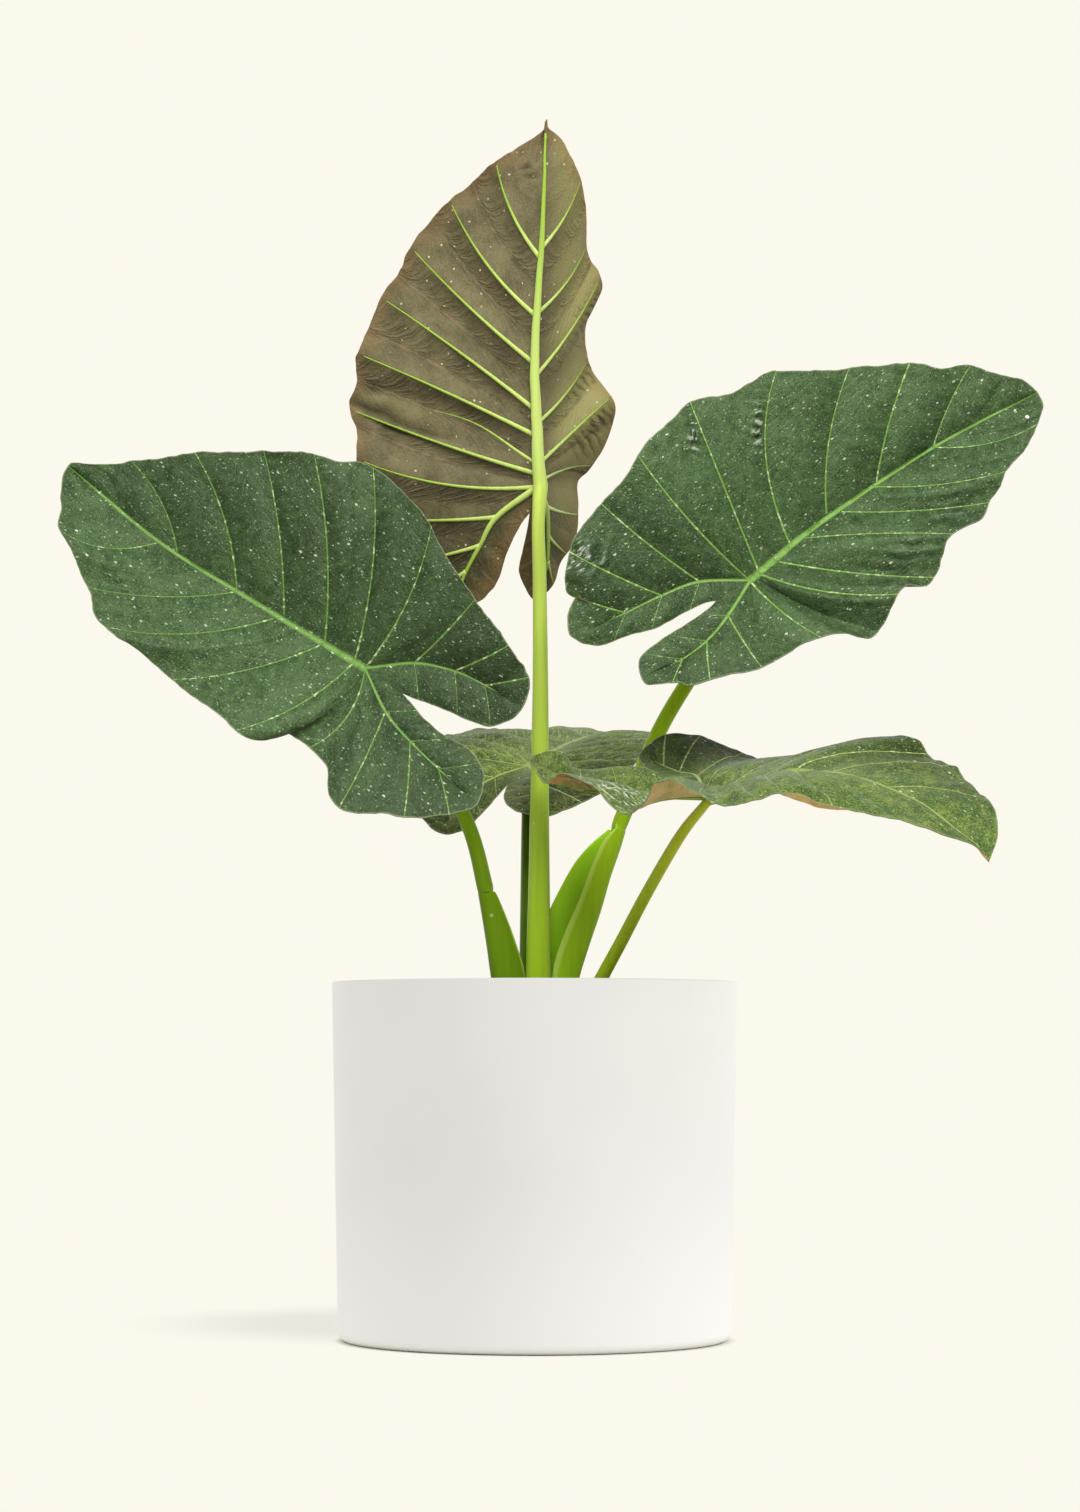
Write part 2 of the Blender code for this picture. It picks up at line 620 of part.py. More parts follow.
def stalk_rings(leaf):
    """Rings up the stalk from the corm, round the bend under the blade and out to the tip."""
    controls = np.asarray(leaf.data["stalk"], float)
    join, join_up = midrib_centre(leaf, 0.0)
    controls = np.vstack([controls, [*join, midrib_radius(leaf, 0.0), 0, 0]])
    count = 16 if controls[:, 4:].any() else RING_POINTS
    steps = 1 if count > RING_POINTS else STALK_STEPS
    last = (len(controls) - 1) * steps
    winged = [k * steps for k, row in enumerate(controls) if row[4:].any()]
    turn_from = max(winged, default=0)
    open_side = unit(leaf.data["open_side"])
    rows = []
    for k in range(last + 1):
        sample = catmull(controls, k / steps)
        if k < steps:
            sample[:2] = controls[0][:2]
        share = max(k - turn_from, 0) / (last - turn_from)
        up = open_side * (1 - share) + join_up * share
        squash = 1.0 if k < last else MIDRIB_SQUASH
        rows.append((sample[:3], up, sample[3], np.maximum(sample[4:], 0.0), squash))
    for k in range(1, MIDRIB_STATIONS + 1):
        along = leaf.length * MIDRIB_REACH * k / MIDRIB_STATIONS
        centre, up = midrib_centre(leaf, along)
        rows.append((centre, up, midrib_radius(leaf, along), np.zeros(2), MIDRIB_SQUASH))
    rings = []
    for k, (centre, up, radius, wings, squash) in enumerate(rows):
        forward = unit(rows[min(k + 1, len(rows) - 1)][0] - rows[max(k - 1, 0)][0])
        y_axis = unit(up - forward * up.dot(forward))
        x_axis = np.cross(y_axis, forward)
        section = stalk_section(radius, wings, count)
        rings.append([centre + x_axis * x + y_axis * y * squash for x, y in section])
    return rings


def rib_rings(start, tops, normals, size):
    """Three-cornered rings for one side rib: from inside its parent rib out under the blade."""
    half_width, depth = size
    count = len(tops)
    rings = []
    for k, (top, normal) in enumerate(zip(tops, normals)):
        forward = unit(tops[min(k + 1, count - 1)] - tops[max(k - 1, 0)])
        sideways = unit(np.cross(normal, forward))
        taper = 1 - (1 - RIB_TIP_SHARE) * k / (count - 1)
        side = sideways * half_width * taper
        down = normal * depth * taper
        rings.append([top, top + side - down, top - side - down])
    middle = sum(rings[0]) / 3
    rings.insert(0, [point - middle + start for point in rings[0]])
    return rings


def make_stalk(name, leaf, finish):
    """The stalk runs on as the midrib, and the side ribs are joined to it."""
    stalk = tube(name, stalk_rings(leaf), finish)
    ribs = bpy.data.collections.new(name + "_ribs")
    bpy.context.scene.collection.children.link(ribs)

    def add_rib(start, tops, normals, size):
        rib = tube("rib", rib_rings(start, tops, normals, size), finish)
        bpy.context.scene.collection.objects.unlink(rib)
        ribs.objects.link(rib)

    clear = BLADE_THICKNESS + RIB_GAP
    shares = [RIB_FIRST + (RIB_REACH - RIB_FIRST) * k / (RIB_POINTS - 1) for k in range(RIB_POINTS)]
    for side, half in leaf.halves.items():
        front = leaf.front_rows(side)
        turn = len(half["spine"]) - 1
        for t in range(2, front + turn):
            normals = [leaf.normal(side, t, v) for v in shares]
            tops = [leaf.world(leaf.surface(side, t, v)) - normal * clear
                    for v, normal in zip(shares, normals)]
            if t <= front:
                start = midrib_centre(leaf, half["front_roots"][t])[0]
            else:
                start = leaf.lobe_rib_at(side, t - front, clear + 0.5 * RIB_DEPTH)[0]
            add_rib(start, tops, normals, (RIB_HALF_WIDTH, RIB_DEPTH))
        places = [leaf.lobe_rib_at(side, q, clear + LOBE_RIB_EXTRA)
                  for q in np.linspace(0.25, turn, RIB_POINTS + 1)]
        add_rib(midrib_centre(leaf, 0.0)[0], [place[0] for place in places],
                [place[1] for place in places],
                (RIB_HALF_WIDTH * LOBE_RIB_SIZE, RIB_DEPTH * LOBE_RIB_SIZE))
    join_or_cut(stalk, ribs, "UNION")
    return stalk


def main():
    for thing in list(bpy.data.objects):
        bpy.data.objects.remove(thing)
    blade_finish = material("blade_green", GREEN_BLADE, 0.45)
    stalk_finish = material("stalk_green", GREEN_STALK, 0.40)
    make_pot(material("pot_white", WHITE_POT, 0.60))
    make_corm(material("corm_brown", BROWN_CORM, 0.80))
    make_soil(material("soil_brown", BROWN_SOIL, 0.95))
    for name, data in LEAVES.items():
        leaf = Leaf(data)
        make_blade(name + "_blade", leaf, blade_finish)
        make_stalk(name + "_stalk", leaf, stalk_finish)


main()
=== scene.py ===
"""The looks of the potted regal shields alocasia.

Each leaf gets a fine waved blade with its veins, specks and puckers, and a fine stalk that runs on
as the raised ribs under the blade. The pot and the potting mix get finer pieces too. Lengths are in
millimetres, in the model's own frame, and are turned into metres where the meshes are made.
"""
import math
import random

import bmesh
import bpy
import numpy as np
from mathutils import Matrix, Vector, noise


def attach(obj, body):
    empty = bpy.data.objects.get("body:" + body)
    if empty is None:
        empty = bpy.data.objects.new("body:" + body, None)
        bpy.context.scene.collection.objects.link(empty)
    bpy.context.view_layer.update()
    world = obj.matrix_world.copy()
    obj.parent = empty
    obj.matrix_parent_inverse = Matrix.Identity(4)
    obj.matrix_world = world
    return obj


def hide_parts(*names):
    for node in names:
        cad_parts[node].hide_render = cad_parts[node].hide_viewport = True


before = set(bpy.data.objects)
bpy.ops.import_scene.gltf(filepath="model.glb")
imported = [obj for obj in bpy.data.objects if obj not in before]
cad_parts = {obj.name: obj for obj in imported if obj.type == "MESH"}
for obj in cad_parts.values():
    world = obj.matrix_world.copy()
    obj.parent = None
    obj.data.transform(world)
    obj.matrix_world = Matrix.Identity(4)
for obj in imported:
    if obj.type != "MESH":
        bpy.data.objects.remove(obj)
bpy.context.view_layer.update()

MM = 0.001

# Camera: its place in millimetres, its focal length in pixels of the frame
FRAME_HEIGHT_PX = 1512
FOCAL_PX = 3500.0
SENSOR = 36.0
CAMERA_PLACE = (3.9, -2600.0, 205.0)
CAMERA_PITCH = 0.0865

# Lights, world and floor, in metres and watts
BACKDROP = (0.973, 0.939, 0.847)
FILL_TINT = (0.985, 1.0, 1.01)
FILL_LEVEL = 1.0
FILL_SLOPE = 0.26
LIGHT_TARGET = (0.0, 0.0, 0.45)
LIGHT_DISTANCE = 3.2
LEAF_LIGHT = {"way": (0.05, -0.68, 0.73), "size": 2.0, "watts": 150.0}
POT_LIGHT = {"way": (0.74, -0.44, 0.45), "size": 1.3, "watts": 30.0}
FLOOR_RADIUS = 9.0
FLOOR_SIDES = 96
FLOOR_DROP = 0.0002
FLOOR_PAINT = (0.800, 0.765, 0.690)
SHADOW_MIDDLE = (-0.09, 0.17, 0.0)
SHADOW_SHARE = 0.62
SHADOW_FULL = 0.10
SHADOW_GONE = 0.25
CONTACT_FULL = 0.142
CONTACT_GONE = 0.150

# Pot and potting mix, as in the model. Angles are in degrees. The mix's roughness is in pairs of
# height and length.
POT_HEIGHT = 262.0
POT_TOP_RADIUS = 150.0
POT_BASE_RADIUS = 144.5
POT_WALL = 7.0
POT_FLOOR = 12.0
POT_FOOT_ROUND = 7.0
POT_LIP_ROUND = 1.6
POT_SIDES = 192
FOOT_STEPS = 10
LIP_STEPS = 6
POT_SHARP = 50
POT_MERGE = 0.01
SOIL_LEVEL = 226.0
SOIL_MOUND = 6.0
SOIL_MOUND_POWER = 0.7
SOIL_EDGE = 10.0
SOIL_FLAT_EDGE = 6.0
SOIL_GAP = 0.4
SOIL_ROUGH = ((2.2, 26.0), (1.4, 9.0), (0.8, 3.5))
SOIL_LAYER = 3.0
SOIL_RINGS = 56
SOIL_SIDES = 150

# Chips on the mix: their kinds by material slot, how common each is, and their half sizes
CHIP_COUNT = 1500
CHIP_SEED = 7
CHIP_EDGE = 5.0
CHIP_CLEAR = 1.0
CHIP_KINDS = (0, 1, 2)
CHIP_SHARES = (0.5, 0.14, 0.36)
PERLITE_KIND = 1
PERLITE_SIZES = (1.0, 2.4)
CHIP_SIZES = (1.2, 4.2)
CHIP_TILT = 0.4
CHIP_RISE = 0.25

# Blades: the model's forms with finer rows, columns and relief
BLADE_THICKNESS = 0.8
LOBE_ROW_BOW = 0.02
CAMBER = 0.03
SWELL_SHARE = 0.12
SWELL_MOST = 5.0
SWELL_LEAN = 0.8
SWELL_OUT_POWER = 0.8
LOBE_SWELL_SHARE = 0.06
CREST_POWER = 0.45
SLOPE_ROWS = 0.35
SLOPE_SHARE = 0.08
COLUMNS = 40
COLUMN_POWER = 0.92
ROW_SPACING = 2.2
MARGIN_SPACING = 2.8
LOBE_ROWS = 11
MERGE_DISTANCE = 0.03
BLADE_SHARP = 65
CENTIMETRE = 0.1

# Outlines: fine steps between two points, and how many of them a row end is looked for in
OUTLINE_STEPS = 10
OUTLINE_REACH = 110

# Ruffles, waved margins, curls and crumples
RUFFLE = 1.6
RUFFLE_LENGTH = 17.0
RUFFLE_FINE = 0.6
RUFFLE_FINER = 2.3
RUFFLE_INSIDE = 0.15
RUFFLE_POWER = 2.5
RUFFLE_STARTS = 6.0
RUFFLE_FULL_REACH = 60.0
CURL_FROM = 0.80
MARGIN_WAVE = 0.9
MARGIN_WAVE_LENGTH = 7.0
WAVE_FULL_REACH = 40.0
PLEAT_STARTS = 8.0
PLEAT_OFF_RIB = 3.0
CRUMPLE_GONE = 0.02
CRUMPLE_BEND = 2.5
CRUMPLE_LAYER = 5.0

# Veins seen from above, half widths, and the fine veins between them
SIDE_VEIN = 1.15
SIDE_VEIN_TAPER = 0.45
MAIN_VEIN = 3.3
MAIN_VEIN_TAPER = 0.72
LOBE_VEIN = 1.7
INNER_VEIN_SHARE = 0.45
NO_VEIN = 0.02
FEATHER_PITCH = 4.2
FEATHER_SWEEP = 9.0
FEATHER_LEAST = 0.02
VEIN_FAR = 60.0
MARK_ROWS = 0.2

# Long pale specks: the way they are turned, cells a centimetre, share of cells and size in cells
LONG_SPECKS = ((0.7, 0.75, 0.35, 0.10), (-0.5, 1.0, 0.25, 0.09), (1.9, 1.4, 0.22, 0.09))
LONG_SPECK_STRETCH = (1.0, 2.1, 1.0)

# Ribs and stalks
RIB_RADIUS = 2.2
RIB_TIP_SHARE = 0.24
RIB_END_SHARE = 0.4
RIB_REACH = 0.985
RIB_SIDES = 12
RIB_POINTS = 30
RIB_BURIED = 0.12
RIB_PROUD = 0.85
RIB_SINK = 0.35
RIB_RISE = 0.25
LOBE_RIB_RADIUS = 2.6
LOBE_RIB_TAPER = 0.65
LOBE_RIB_FROM = 0.02
LOBE_RIB_REACH = 0.97
LOBE_RIB_SIDE = 0.12
MIDRIB_TAPER = 0.88
MIDRIB_REACH = 0.96
MIDRIB_STATIONS = 56
MIDRIB_SQUASH = 0.9
SQUASH_PACE = 6
FLARE_LENGTH = 14.0
SECTION_POINTS = 48
CHANNEL_POINTS = 16
STALK_STEPS = 8
SHEATH_OPENS = 5.0
WING_ROOT = 1.8
WING_EDGE = 0.9
WING_EDGE_DROP = 0.3
SHEATH_EDGE_TURNS = (0.01, 0.51, 0.99)
SHEATH_EDGE_WIDTH = 0.03
SHEATH_INSIDE_TURNS = (0.53, 0.97)

# The leaves start from the model's. They have finer outlines and a bend for each rib, some ribs and
# lobe rows are moved by up to 25 mm, the low leaf has other rows of ribs, and the left and right
# sheaths are shaped anew. Places on a blade are (along, across, lift). Outline points are
# (along, across), some with a lift, from the tip round the lobe to the notch. A rib is its root on
# the midrib, its end on the margin, how far it bends from the straight line and how strong it is.
# Short ribs are the rows that they follow, their reach and their strength. Curls are the rows where
# a margin dips, and how far. Holes are (along, across) and half sizes. Crumples are their middle,
# reach, way in degrees, pitch and height. Swell scales how much a half bulges between its ribs.
LEAVES = {
    "tall_leaf": {
        "junction": (1.6, 12.0, 635.1),
        "tip_direction": (0.025, -0.060, 0.998),
        "face": (0.0, 0.998, 0.060),
        "lift_way": (0.0, 0.977, 0.211),
        "midrib": [(0, 0, 0), (100, 5, -2), (200, 1, 0), (279, 0, 4)],
        "notch": (-20, 5, 4),
        "right": {
            "ribs": [
                (236, (262, 15, 5), (-2, 3, 0), 0), (174, (247, 37, 8), (-2, 5, 0), 1),
                (130, (216, 72, 16), (-4, 5, 0), 1), (94, (180, 101, 22), (-2, 2, 0), 1),
                (59, (140, 123, 20), (1, -1, 0), 1), (39, (97, 139, 14), (1, -1, 0), 1),
                (10, (55, 144, 24), (-2, 1, 0), 1), (0, (18, 137, 12), (-9, 2, 0), 1),
            ],
            "lobe": [
                ((-24, 30, 4), (-28, 131, 18), (-34, 13, 4)),
                ((-46, 42, 5), (-62, 107, 16), (-62, 24, 6)),
                ((-66, 52, 7), (-84, 82, 14), (-82, 35, 8)),
            ],
            "lobe_end": ((-78, 56, 8), (-92, 59, 10)),
            "short_ribs": [((6.72, 6.40, 6.50), 0.62, 0.75)],
            "outline": [
                (279, 0), (273, 1), (268, 5), (258, 20), (250, 32), (240, 45), (225, 60), (215, 73),
                (200, 86), (180, 101), (160, 109), (145, 120), (120, 130), (100, 138), (90, 140),
                (75, 139), (60, 144), (50, 143), (40, 138), (20, 137), (-10, 135), (-40, 125),
                (-65, 105), (-85, 80), (-92, 60), (-89, 43), (-80, 33), (-70, 27), (-50, 21),
                (-30, 12), (-20, 5),
            ],
        },
        "left": {
            "ribs": [
                (240, (257, 17, 14), (-2, 3, 0), 0), (181, (236, 27, 30), (-2, 3, 0), 1),
                (131, (185, 33, 62), (-2, 4, 0), 1), (83, (161, 45, 70), (-2, 3, 0), 1),
                (47, (97, 36, 94), (-2, 3, 0), 1), (16, (67, 55, 84), (0, 0, 0), 1),
                (3, (13, 41, 96), (4, 0, 0), 1), (0, (2, 32, 92), (8, 0, 0), 0),
            ],
            "lobe": [
                ((-15, 7, 7), (-24, 32, 80), (-34, -6, 8)),
                ((-38, 9, 18), (-54, 23, 56), (-53, -10, 14)),
                ((-58, 9, 24), (-76, 14, 40), (-72, -9, 20)),
            ],
            "lobe_end": ((-72, 6, 28), (-88, 1, 32)),
            "outline": [
                (279, 0), (273, 1), (265, 11), (250, 20), (235, 27), (210, 32), (185, 33), (175, 36),
                (165, 43), (155, 46), (148, 45), (140, 40), (120, 34), (100, 36), (85, 42), (70, 54),
                (60, 59), (50, 58), (30, 52), (10, 40), (0, 31), (-20, 32), (-43, 30), (-60, 19),
                (-76, 14), (-88, 1), (-78, -7), (-65, -12), (-50, -10), (-35, -7), (-20, -5),
            ],
            "swell": 0.45,
        },
        "open_side": (0.10, 0.99, 0.0),
        "stalk": [
            (2.6, -12, 186.4, 8.8, 0, 0), (2.6, -12, 238, 9.2, 0, 0), (2.6, -12, 270, 9.1, 0, 0),
            (3.2, -11, 330, 8.0, 0, 0), (3.6, -10, 395, 7.1, 0, 0), (4.2, -7, 480, 5.9, 0, 0),
            (3.6, -2, 560, 5.2, 0, 0), (2.6, 0, 605, 4.9, 0, 0),
        ],
        "midrib_radius": 4.9,
        "flare": 0.9,
        "crumples": [
            ((136, -37), (20, 8), -29, 6, 1.8), ((78, -33), (18, 8), -37, 6, 1.8),
            ((49, -46), (18, 9), -47, 6, 1.9), ((30, -38), (14, 12), -60, 7, 1.4),
            ((112, -30), (14, 6), -32, 6, 1.1), ((242, 10), (16, 7), 30, 9, 1.2),
            ((53, 110), (16, 38), 160, 27, 2.4), ((118, 70), (12, 24), 150, 24, 0.7),
        ],
    },
    "left_leaf": {
        "junction": (-124.1, -55.0, 490.3),
        "tip_direction": (-0.793, 0.237, 0.562),
        "face": (-0.096, -0.959, 0.268),
        "lift_way": (0.078, -0.988, -0.129),
        "midrib": [(0, 0, 0), (100, -6, 0), (190, -9, 0), (288, 0, -2)],
        "notch": (-35, 0, 2),
        "right": {
            "ribs": [
                (235, (272, 13, 4), (-3, 5, 0), 0), (172, (250, 30, 8), (-3, 6, 0), 1),
                (116, (212, 62, 20), (-3, 6, 0), 1), (73, (171, 93, 24), (-3, 3, 0), 1),
                (36, (138, 112, 34), (-4, 4, 0), 1), (9, (95, 129, 30), (-5, 4, 0), 1),
                (0, (30, 115, 36), (-7, 2, 0), 1),
            ],
            "lobe": [
                ((-27, 24, 4), (-32, 89, 24), (-48, 3, 3)),
                ((-55, 36, 6), (-74, 75, 22), (-78, 10, 5)),
                ((-80, 40, 7), (-101, 62, 16), (-102, 18, 7)),
            ],
            "lobe_end": ((-94, 41, 8), (-113, 40, 12)),
            "outline": [
                (288, 0), (286, 4), (275, 10), (260, 20), (250, 30), (235, 42), (225, 52), (215, 62),
                (200, 73), (185, 83), (175, 91), (165, 97), (150, 107), (140, 112), (120, 118),
                (108, 126), (95, 129), (80, 129), (60, 125), (40, 120), (20, 110), (0, 101), (-20, 94),
                (-40, 86), (-60, 80), (-80, 72), (-95, 67), (-105, 60), (-110, 52), (-113, 40),
                (-112, 30), (-106, 20), (-98, 14), (-80, 10), (-60, 6), (-45, 2), (-35, 0),
            ],
        },
        "left": {
            "ribs": [
                (240, (274, 25, 6), (-3, 6, 0), 0), (190, (257, 44, 14), (-4, 9, 0), 1),
                (116, (210, 68, 16), (-3, 5, 0), 1), (78, (180, 85, 28), (-5, 8, 0), 1),
                (37, (112, 89, 20), (-4, 5, 0), 1), (9, (48, 92, 34), (-6, 4, 0), 1),
                (0, (-4, 72, 14), (-10, 1, 0), 1),
            ],
            "lobe": [
                ((-33, 18, 3), (-50, 94, 30), (-52, 3, 3)),
                ((-62, 26, 5), (-94, 74, 20), (-85, 8, 5)),
                ((-92, 31, 6), (-119, 53, 18), (-113, 12, 6)),
            ],
            "lobe_end": ((-112, 34, 8), (-131, 34, 12)),
            "outline": [
                (288, 0), (286, 8), (278, 20), (268, 32), (262, 42), (250, 48), (235, 55), (220, 64),
                (205, 71), (195, 80), (185, 84), (165, 86), (150, 85), (130, 87), (110, 89), (90, 90),
                (70, 89), (50, 92), (38, 92), (28, 88), (20, 80), (14, 73), (0, 72), (-15, 74),
                (-25, 77), (-33, 87), (-40, 93), (-50, 95), (-60, 93), (-70, 87), (-80, 80), (-95, 73),
                (-110, 62), (-122, 50), (-130, 40), (-130, 30), (-125, 20), (-118, 12), (-100, 6),
                (-80, 8), (-60, 6), (-45, 2), (-35, 0),
            ],
        },
        "open_side": (0.95, 0.30, 0.0),
        "stalk": [
            (-20, 2, 186.4, 7.4, 0, 0), (-20, 2, 236, 7.9, 0, 0), (-21, 2, 248, 8.0, 12, 11),
            (-25, 1, 266, 7.6, 17, 16), (-29, 1, 290, 7.0, 14, 13), (-33, 2, 312, 6.5, 9, 9),
            (-36, 2, 328, 6.2, 5, 5), (-37, 2, 333, 6.1, 0, 0),
            (-50, 3, 380, 5.5, 0, 0), (-82, 4, 438, 5.3, 0, 0), (-111, -16, 474, 5.0, 0, 0),
        ],
        "midrib_radius": 4.2,
        "crumples": [
            ((195, -62), (16, 14), 70, 11, 0.8), ((140, -70), (16, 12), 60, 12, 0.8),
            ((-15, 40), (14, 20), 20, 12, 0.7),
        ],
    },
    "right_leaf": {
        "junction": (158.4, -45.0, 556.6),
        "tip_direction": (0.817, 0.230, 0.529),
        "face": (0.096, -0.959, 0.268),
        "lift_way": (-0.090, -0.984, -0.151),
        "midrib": [(0, 0, 0), (75, -9, 0), (180, -13, 0), (278, -7, -2)],
        "notch": (-31, 0, 2),
        "right": {
            "ribs": [
                (230, (273, 4, 4), (-2, 4, 0), 0), (182, (262, 13, 6), (-1, 7, 0), 1),
                (123, (216, 33, 18), (-2, 4, 0), 1), (88, (190, 46, 14), (-1, 3, 0), 1),
                (52, (150, 51, 30), (1, -2, 0), 1), (24, (118, 72, 20), (-1, 3, 0), 1),
                (8, (88, 68, 38), (-4, 5, 0), 1), (4, (56, 84, 22), (-4, 3, 0), 0),
                (0, (18, 64, 32), (-3, 2, 0), 1),
            ],
            "lobe": [
                ((-30, 14, 3), (-32, 61, 16), (-47, 3, 3)),
                ((-55, 22, 5), (-70, 48, 18), (-76, 4, 5)),
                ((-78, 24, 7), (-95, 35, 12), (-99, 6, 7)),
            ],
            "lobe_end": ((-92, 22, 8), (-112, 21, 11)),
            "outline": [
                (278, -7), (275, 3), (268, 10), (255, 18), (240, 26), (225, 29), (215, 33), (205, 40),
                (190, 46), (178, 53), (165, 52), (150, 51), (140, 56), (130, 64), (120, 71), (110, 74),
                (103, 70), (97, 65), (85, 69), (75, 75), (60, 83), (50, 85), (43, 80), (35, 71),
                (20, 65), (5, 62), (-10, 62), (-30, 61), (-40, 59), (-55, 53), (-70, 48), (-85, 44),
                (-90, 38), (-95, 35), (-105, 30), (-112, 26), (-112, 20), (-108, 10), (-100, 5),
                (-80, 3), (-60, 3), (-40, 2), (-31, 0),
            ],
        },
        "left": {
            "ribs": [
                (235, (266, 30, 6), (-2, 3, 0), 0), (181, (247, 52, 12), (-1, 2, 0), 1),
                (126, (208, 79, 22), (-2, 2, 0), 1), (78, (167, 99, 26), (-5, 5, 0), 1),
                (42, (118, 126, 36), (-10, 9, 0), 1), (9, (48, 140, 34), (0, 0, 0), 1),
                (0, (-10, 126, 40), (-4, 0, 0), 1),
            ],
            "lobe": [
                ((-32, 19, 3), (-56, 108, 28), (-52, 5, 3)),
                ((-62, 25, 5), (-98, 89, 24), (-84, 8, 5)),
                ((-92, 28, 7), (-120, 62, 16), (-113, 14, 7)),
            ],
            "lobe_end": ((-112, 30, 9), (-136, 36, 12)),
            "outline": [
                (278, 7), (275, 20), (268, 28), (255, 42), (248, 52), (240, 57), (230, 60), (222, 65),
                (215, 74), (200, 83), (185, 90), (170, 98), (160, 102), (150, 107), (135, 116),
                (120, 125), (110, 129), (90, 129), (75, 130), (60, 137), (50, 140), (40, 139),
                (30, 136), (20, 134), (5, 131), (-10, 125), (-30, 115), (-50, 110), (-70, 104),
                (-90, 96), (-97, 90), (-108, 80), (-115, 72), (-119, 63), (-114, 58), (-118, 57),
                (-128, 50), (-136, 38), (-135, 30), (-130, 22), (-120, 16), (-100, 12), (-80, 6),
                (-60, 5), (-40, 3), (-31, 0),
            ],
        },
        "open_side": (-0.88, -0.47, 0.0),
        "stalk": [
            (20, 8, 186.4, 7.4, 0, 0), (20, 8, 236, 7.8, 0, 0), (22, 8, 248, 7.6, 12, 14),
            (27, 9, 268, 6.8, 18, 27), (35, 11, 292, 6.3, 18, 31), (44, 13, 318, 6.1, 16, 29),
            (51, 14, 342, 6.0, 14, 23), (58, 15, 362, 5.9, 12, 14), (62, 16, 375, 5.9, 6, 5),
            (65, 17, 384, 5.9, 0, 0),
            (93, 18, 450, 5.8, 0, 0), (119, 8, 494, 5.6, 0, 0), (145, -18, 535, 5.2, 0, 0),
        ],
        "midrib_radius": 4.2,
        "holes": [(258, 5, 2.3, 1.6)],
        "crumples": [
            ((78, -94), (24, 6), 126, 8, 2.6), ((34, -115), (16, 6), 126, 8, 2.4),
            ((159, 36), (13, 28), 118, 10, 0.9), ((118, 42), (14, 28), 121, 11, 1.0),
            ((82, 56), (12, 22), 125, 10, 0.9), ((-85, -74), (14, 14), 60, 11, 1.4),
        ],
    },
    "low_leaf": {
        "junction": (122.7, -95.0, 392.7),
        "tip_direction": (0.745, -0.631, -0.219),
        "face": (-0.017, -0.346, 0.938),
        "lift_way": (0.0, 0.0, 1.0),
        "midrib": [
            (0, 0, 0), (40, 1, 16), (80, 2, 32), (130, 2, 38), (190, 1, 29), (236, 0, 8), (246, 0, -1.5),
        ],
        "notch": (-32, 0, 3),
        "right": {
            "ribs": [
                (238, (244, 12, 13), (0, 0, 0), 0), (205, (238, 17, 16), (-2, 2, 0), 0),
                (150, (229, 26, 20), (-4, 4, 0), 1), (115, (206, 46, 30), (-4, 4, 0), 0),
                (84, (177, 69, 39), (-4, 4, 0), 1), (60, (142, 86, 46), (-6, 4, 0), 0.6),
                (40, (123, 96, 40), (-6, 4, 0), 0.6), (26, (97, 98, 33), (-6, 4, 0), 0),
                (15, (77, 100, 36), (-4, 3, 0), 0.6), (8, (56, 102, 44), (-4, 3, 0), 0),
                (3, (30, 98, 30), (-4, 3, 0), 0), (0, (4, 92, 9), (-4, 0, 0), 0.6),
            ],
            "lobe": [
                ((-24, 20, 1), (-27, 86, 14), (-46, 4, 6)),
                ((-50, 36, 2), (-62, 80, 19), (-78, 12, 5)),
                ((-76, 46, 3), (-90, 73, 6), (-98, 24, 3)),
            ],
            "lobe_end": ((-98, 46, 8), (-125, 50, 18)),
            "curls": [(4.6, 6.3, 6)],
            "outline": [
                (246, 0, -1.5), (243, 3, 5.5), (241, 12, 12), (226, 28, 21), (206, 46, 30), (186, 62, 35.5),
                (166, 76, 41), (142, 86, 46), (123, 96, 40), (97, 98, 33), (77, 100, 36), (57, 102, 44),
                (38, 101, 38), (24, 96, 22), (4, 92, 9), (-13, 90, 13), (-29, 86, 20), (-66, 80, 24),
                (-89, 72, 10), (-109, 62, 15), (-125, 50, 18), (-116, 40, 22), (-106, 32, 20),
                (-101, 26, 9), (-82, 16, 11), (-52, 6, 14), (-32, 0, 3),
            ],
        },
        "left": {
            "ribs": [
                (238, (243, 14, 11), (0, 0, 0), 0), (214, (230, 32, 20), (-2, 2, 0), 0),
                (162, (214, 46, 25), (-4, 4, 0), 1), (136, (183, 62, 30), (-4, 4, 0), 0),
                (114, (167, 74, 34), (-6, 6, 0), 1), (98, (147, 80, 34), (-6, 5, 0), 0),
                (84, (134, 86, 34), (-6, 5, 4), 1), (70, (118, 92, 43), (-6, 5, 4), 0),
                (46, (73, 97, 34), (-6, 4, 0), 1), (22, (29, 99, 17), (-5, 4, 3), 0.6),
                (0, (-15, 94, 4), (-5, 2, 10), 0.6),
            ],
            "lobe": [
                ((-26, 22, 6), (-35, 87, 8), (-42, 3, 4)),
                ((-50, 31, 3), (-67, 76, 18), (-62, 12, 4)),
                ((-70, 37, 3), (-88, 61, 19), (-80, 25, 4)),
            ],
            "lobe_end": ((-82, 40, 4), (-97, 42, 7)),
            "swell": 0.2,
        },
        "open_side": (-0.95, 0.10, 0.0),
        "stalk": [
            (39, -4, 186.4, 5.6, 0, 0), (39, -4, 236, 5.8, 0, 0), (43, -7, 252, 5.2, 0, 0),
            (51, -13, 268, 4.9, 0, 0), (64, -25, 292, 4.7, 0, 0), (83, -46, 328, 4.4, 0, 0),
            (106, -73, 367, 4.1, 0, 0),
        ],
        "midrib_radius": 3.7,
        "crumples": [
            ((-20, 62), (16, 14), 30, 12, 1.0), ((-60, 50), (14, 14), 10, 12, 1.0),
            ((60, -60), (20, 24), 40, 13, 0.9), ((150, -40), (20, 20), 60, 14, 0.8),
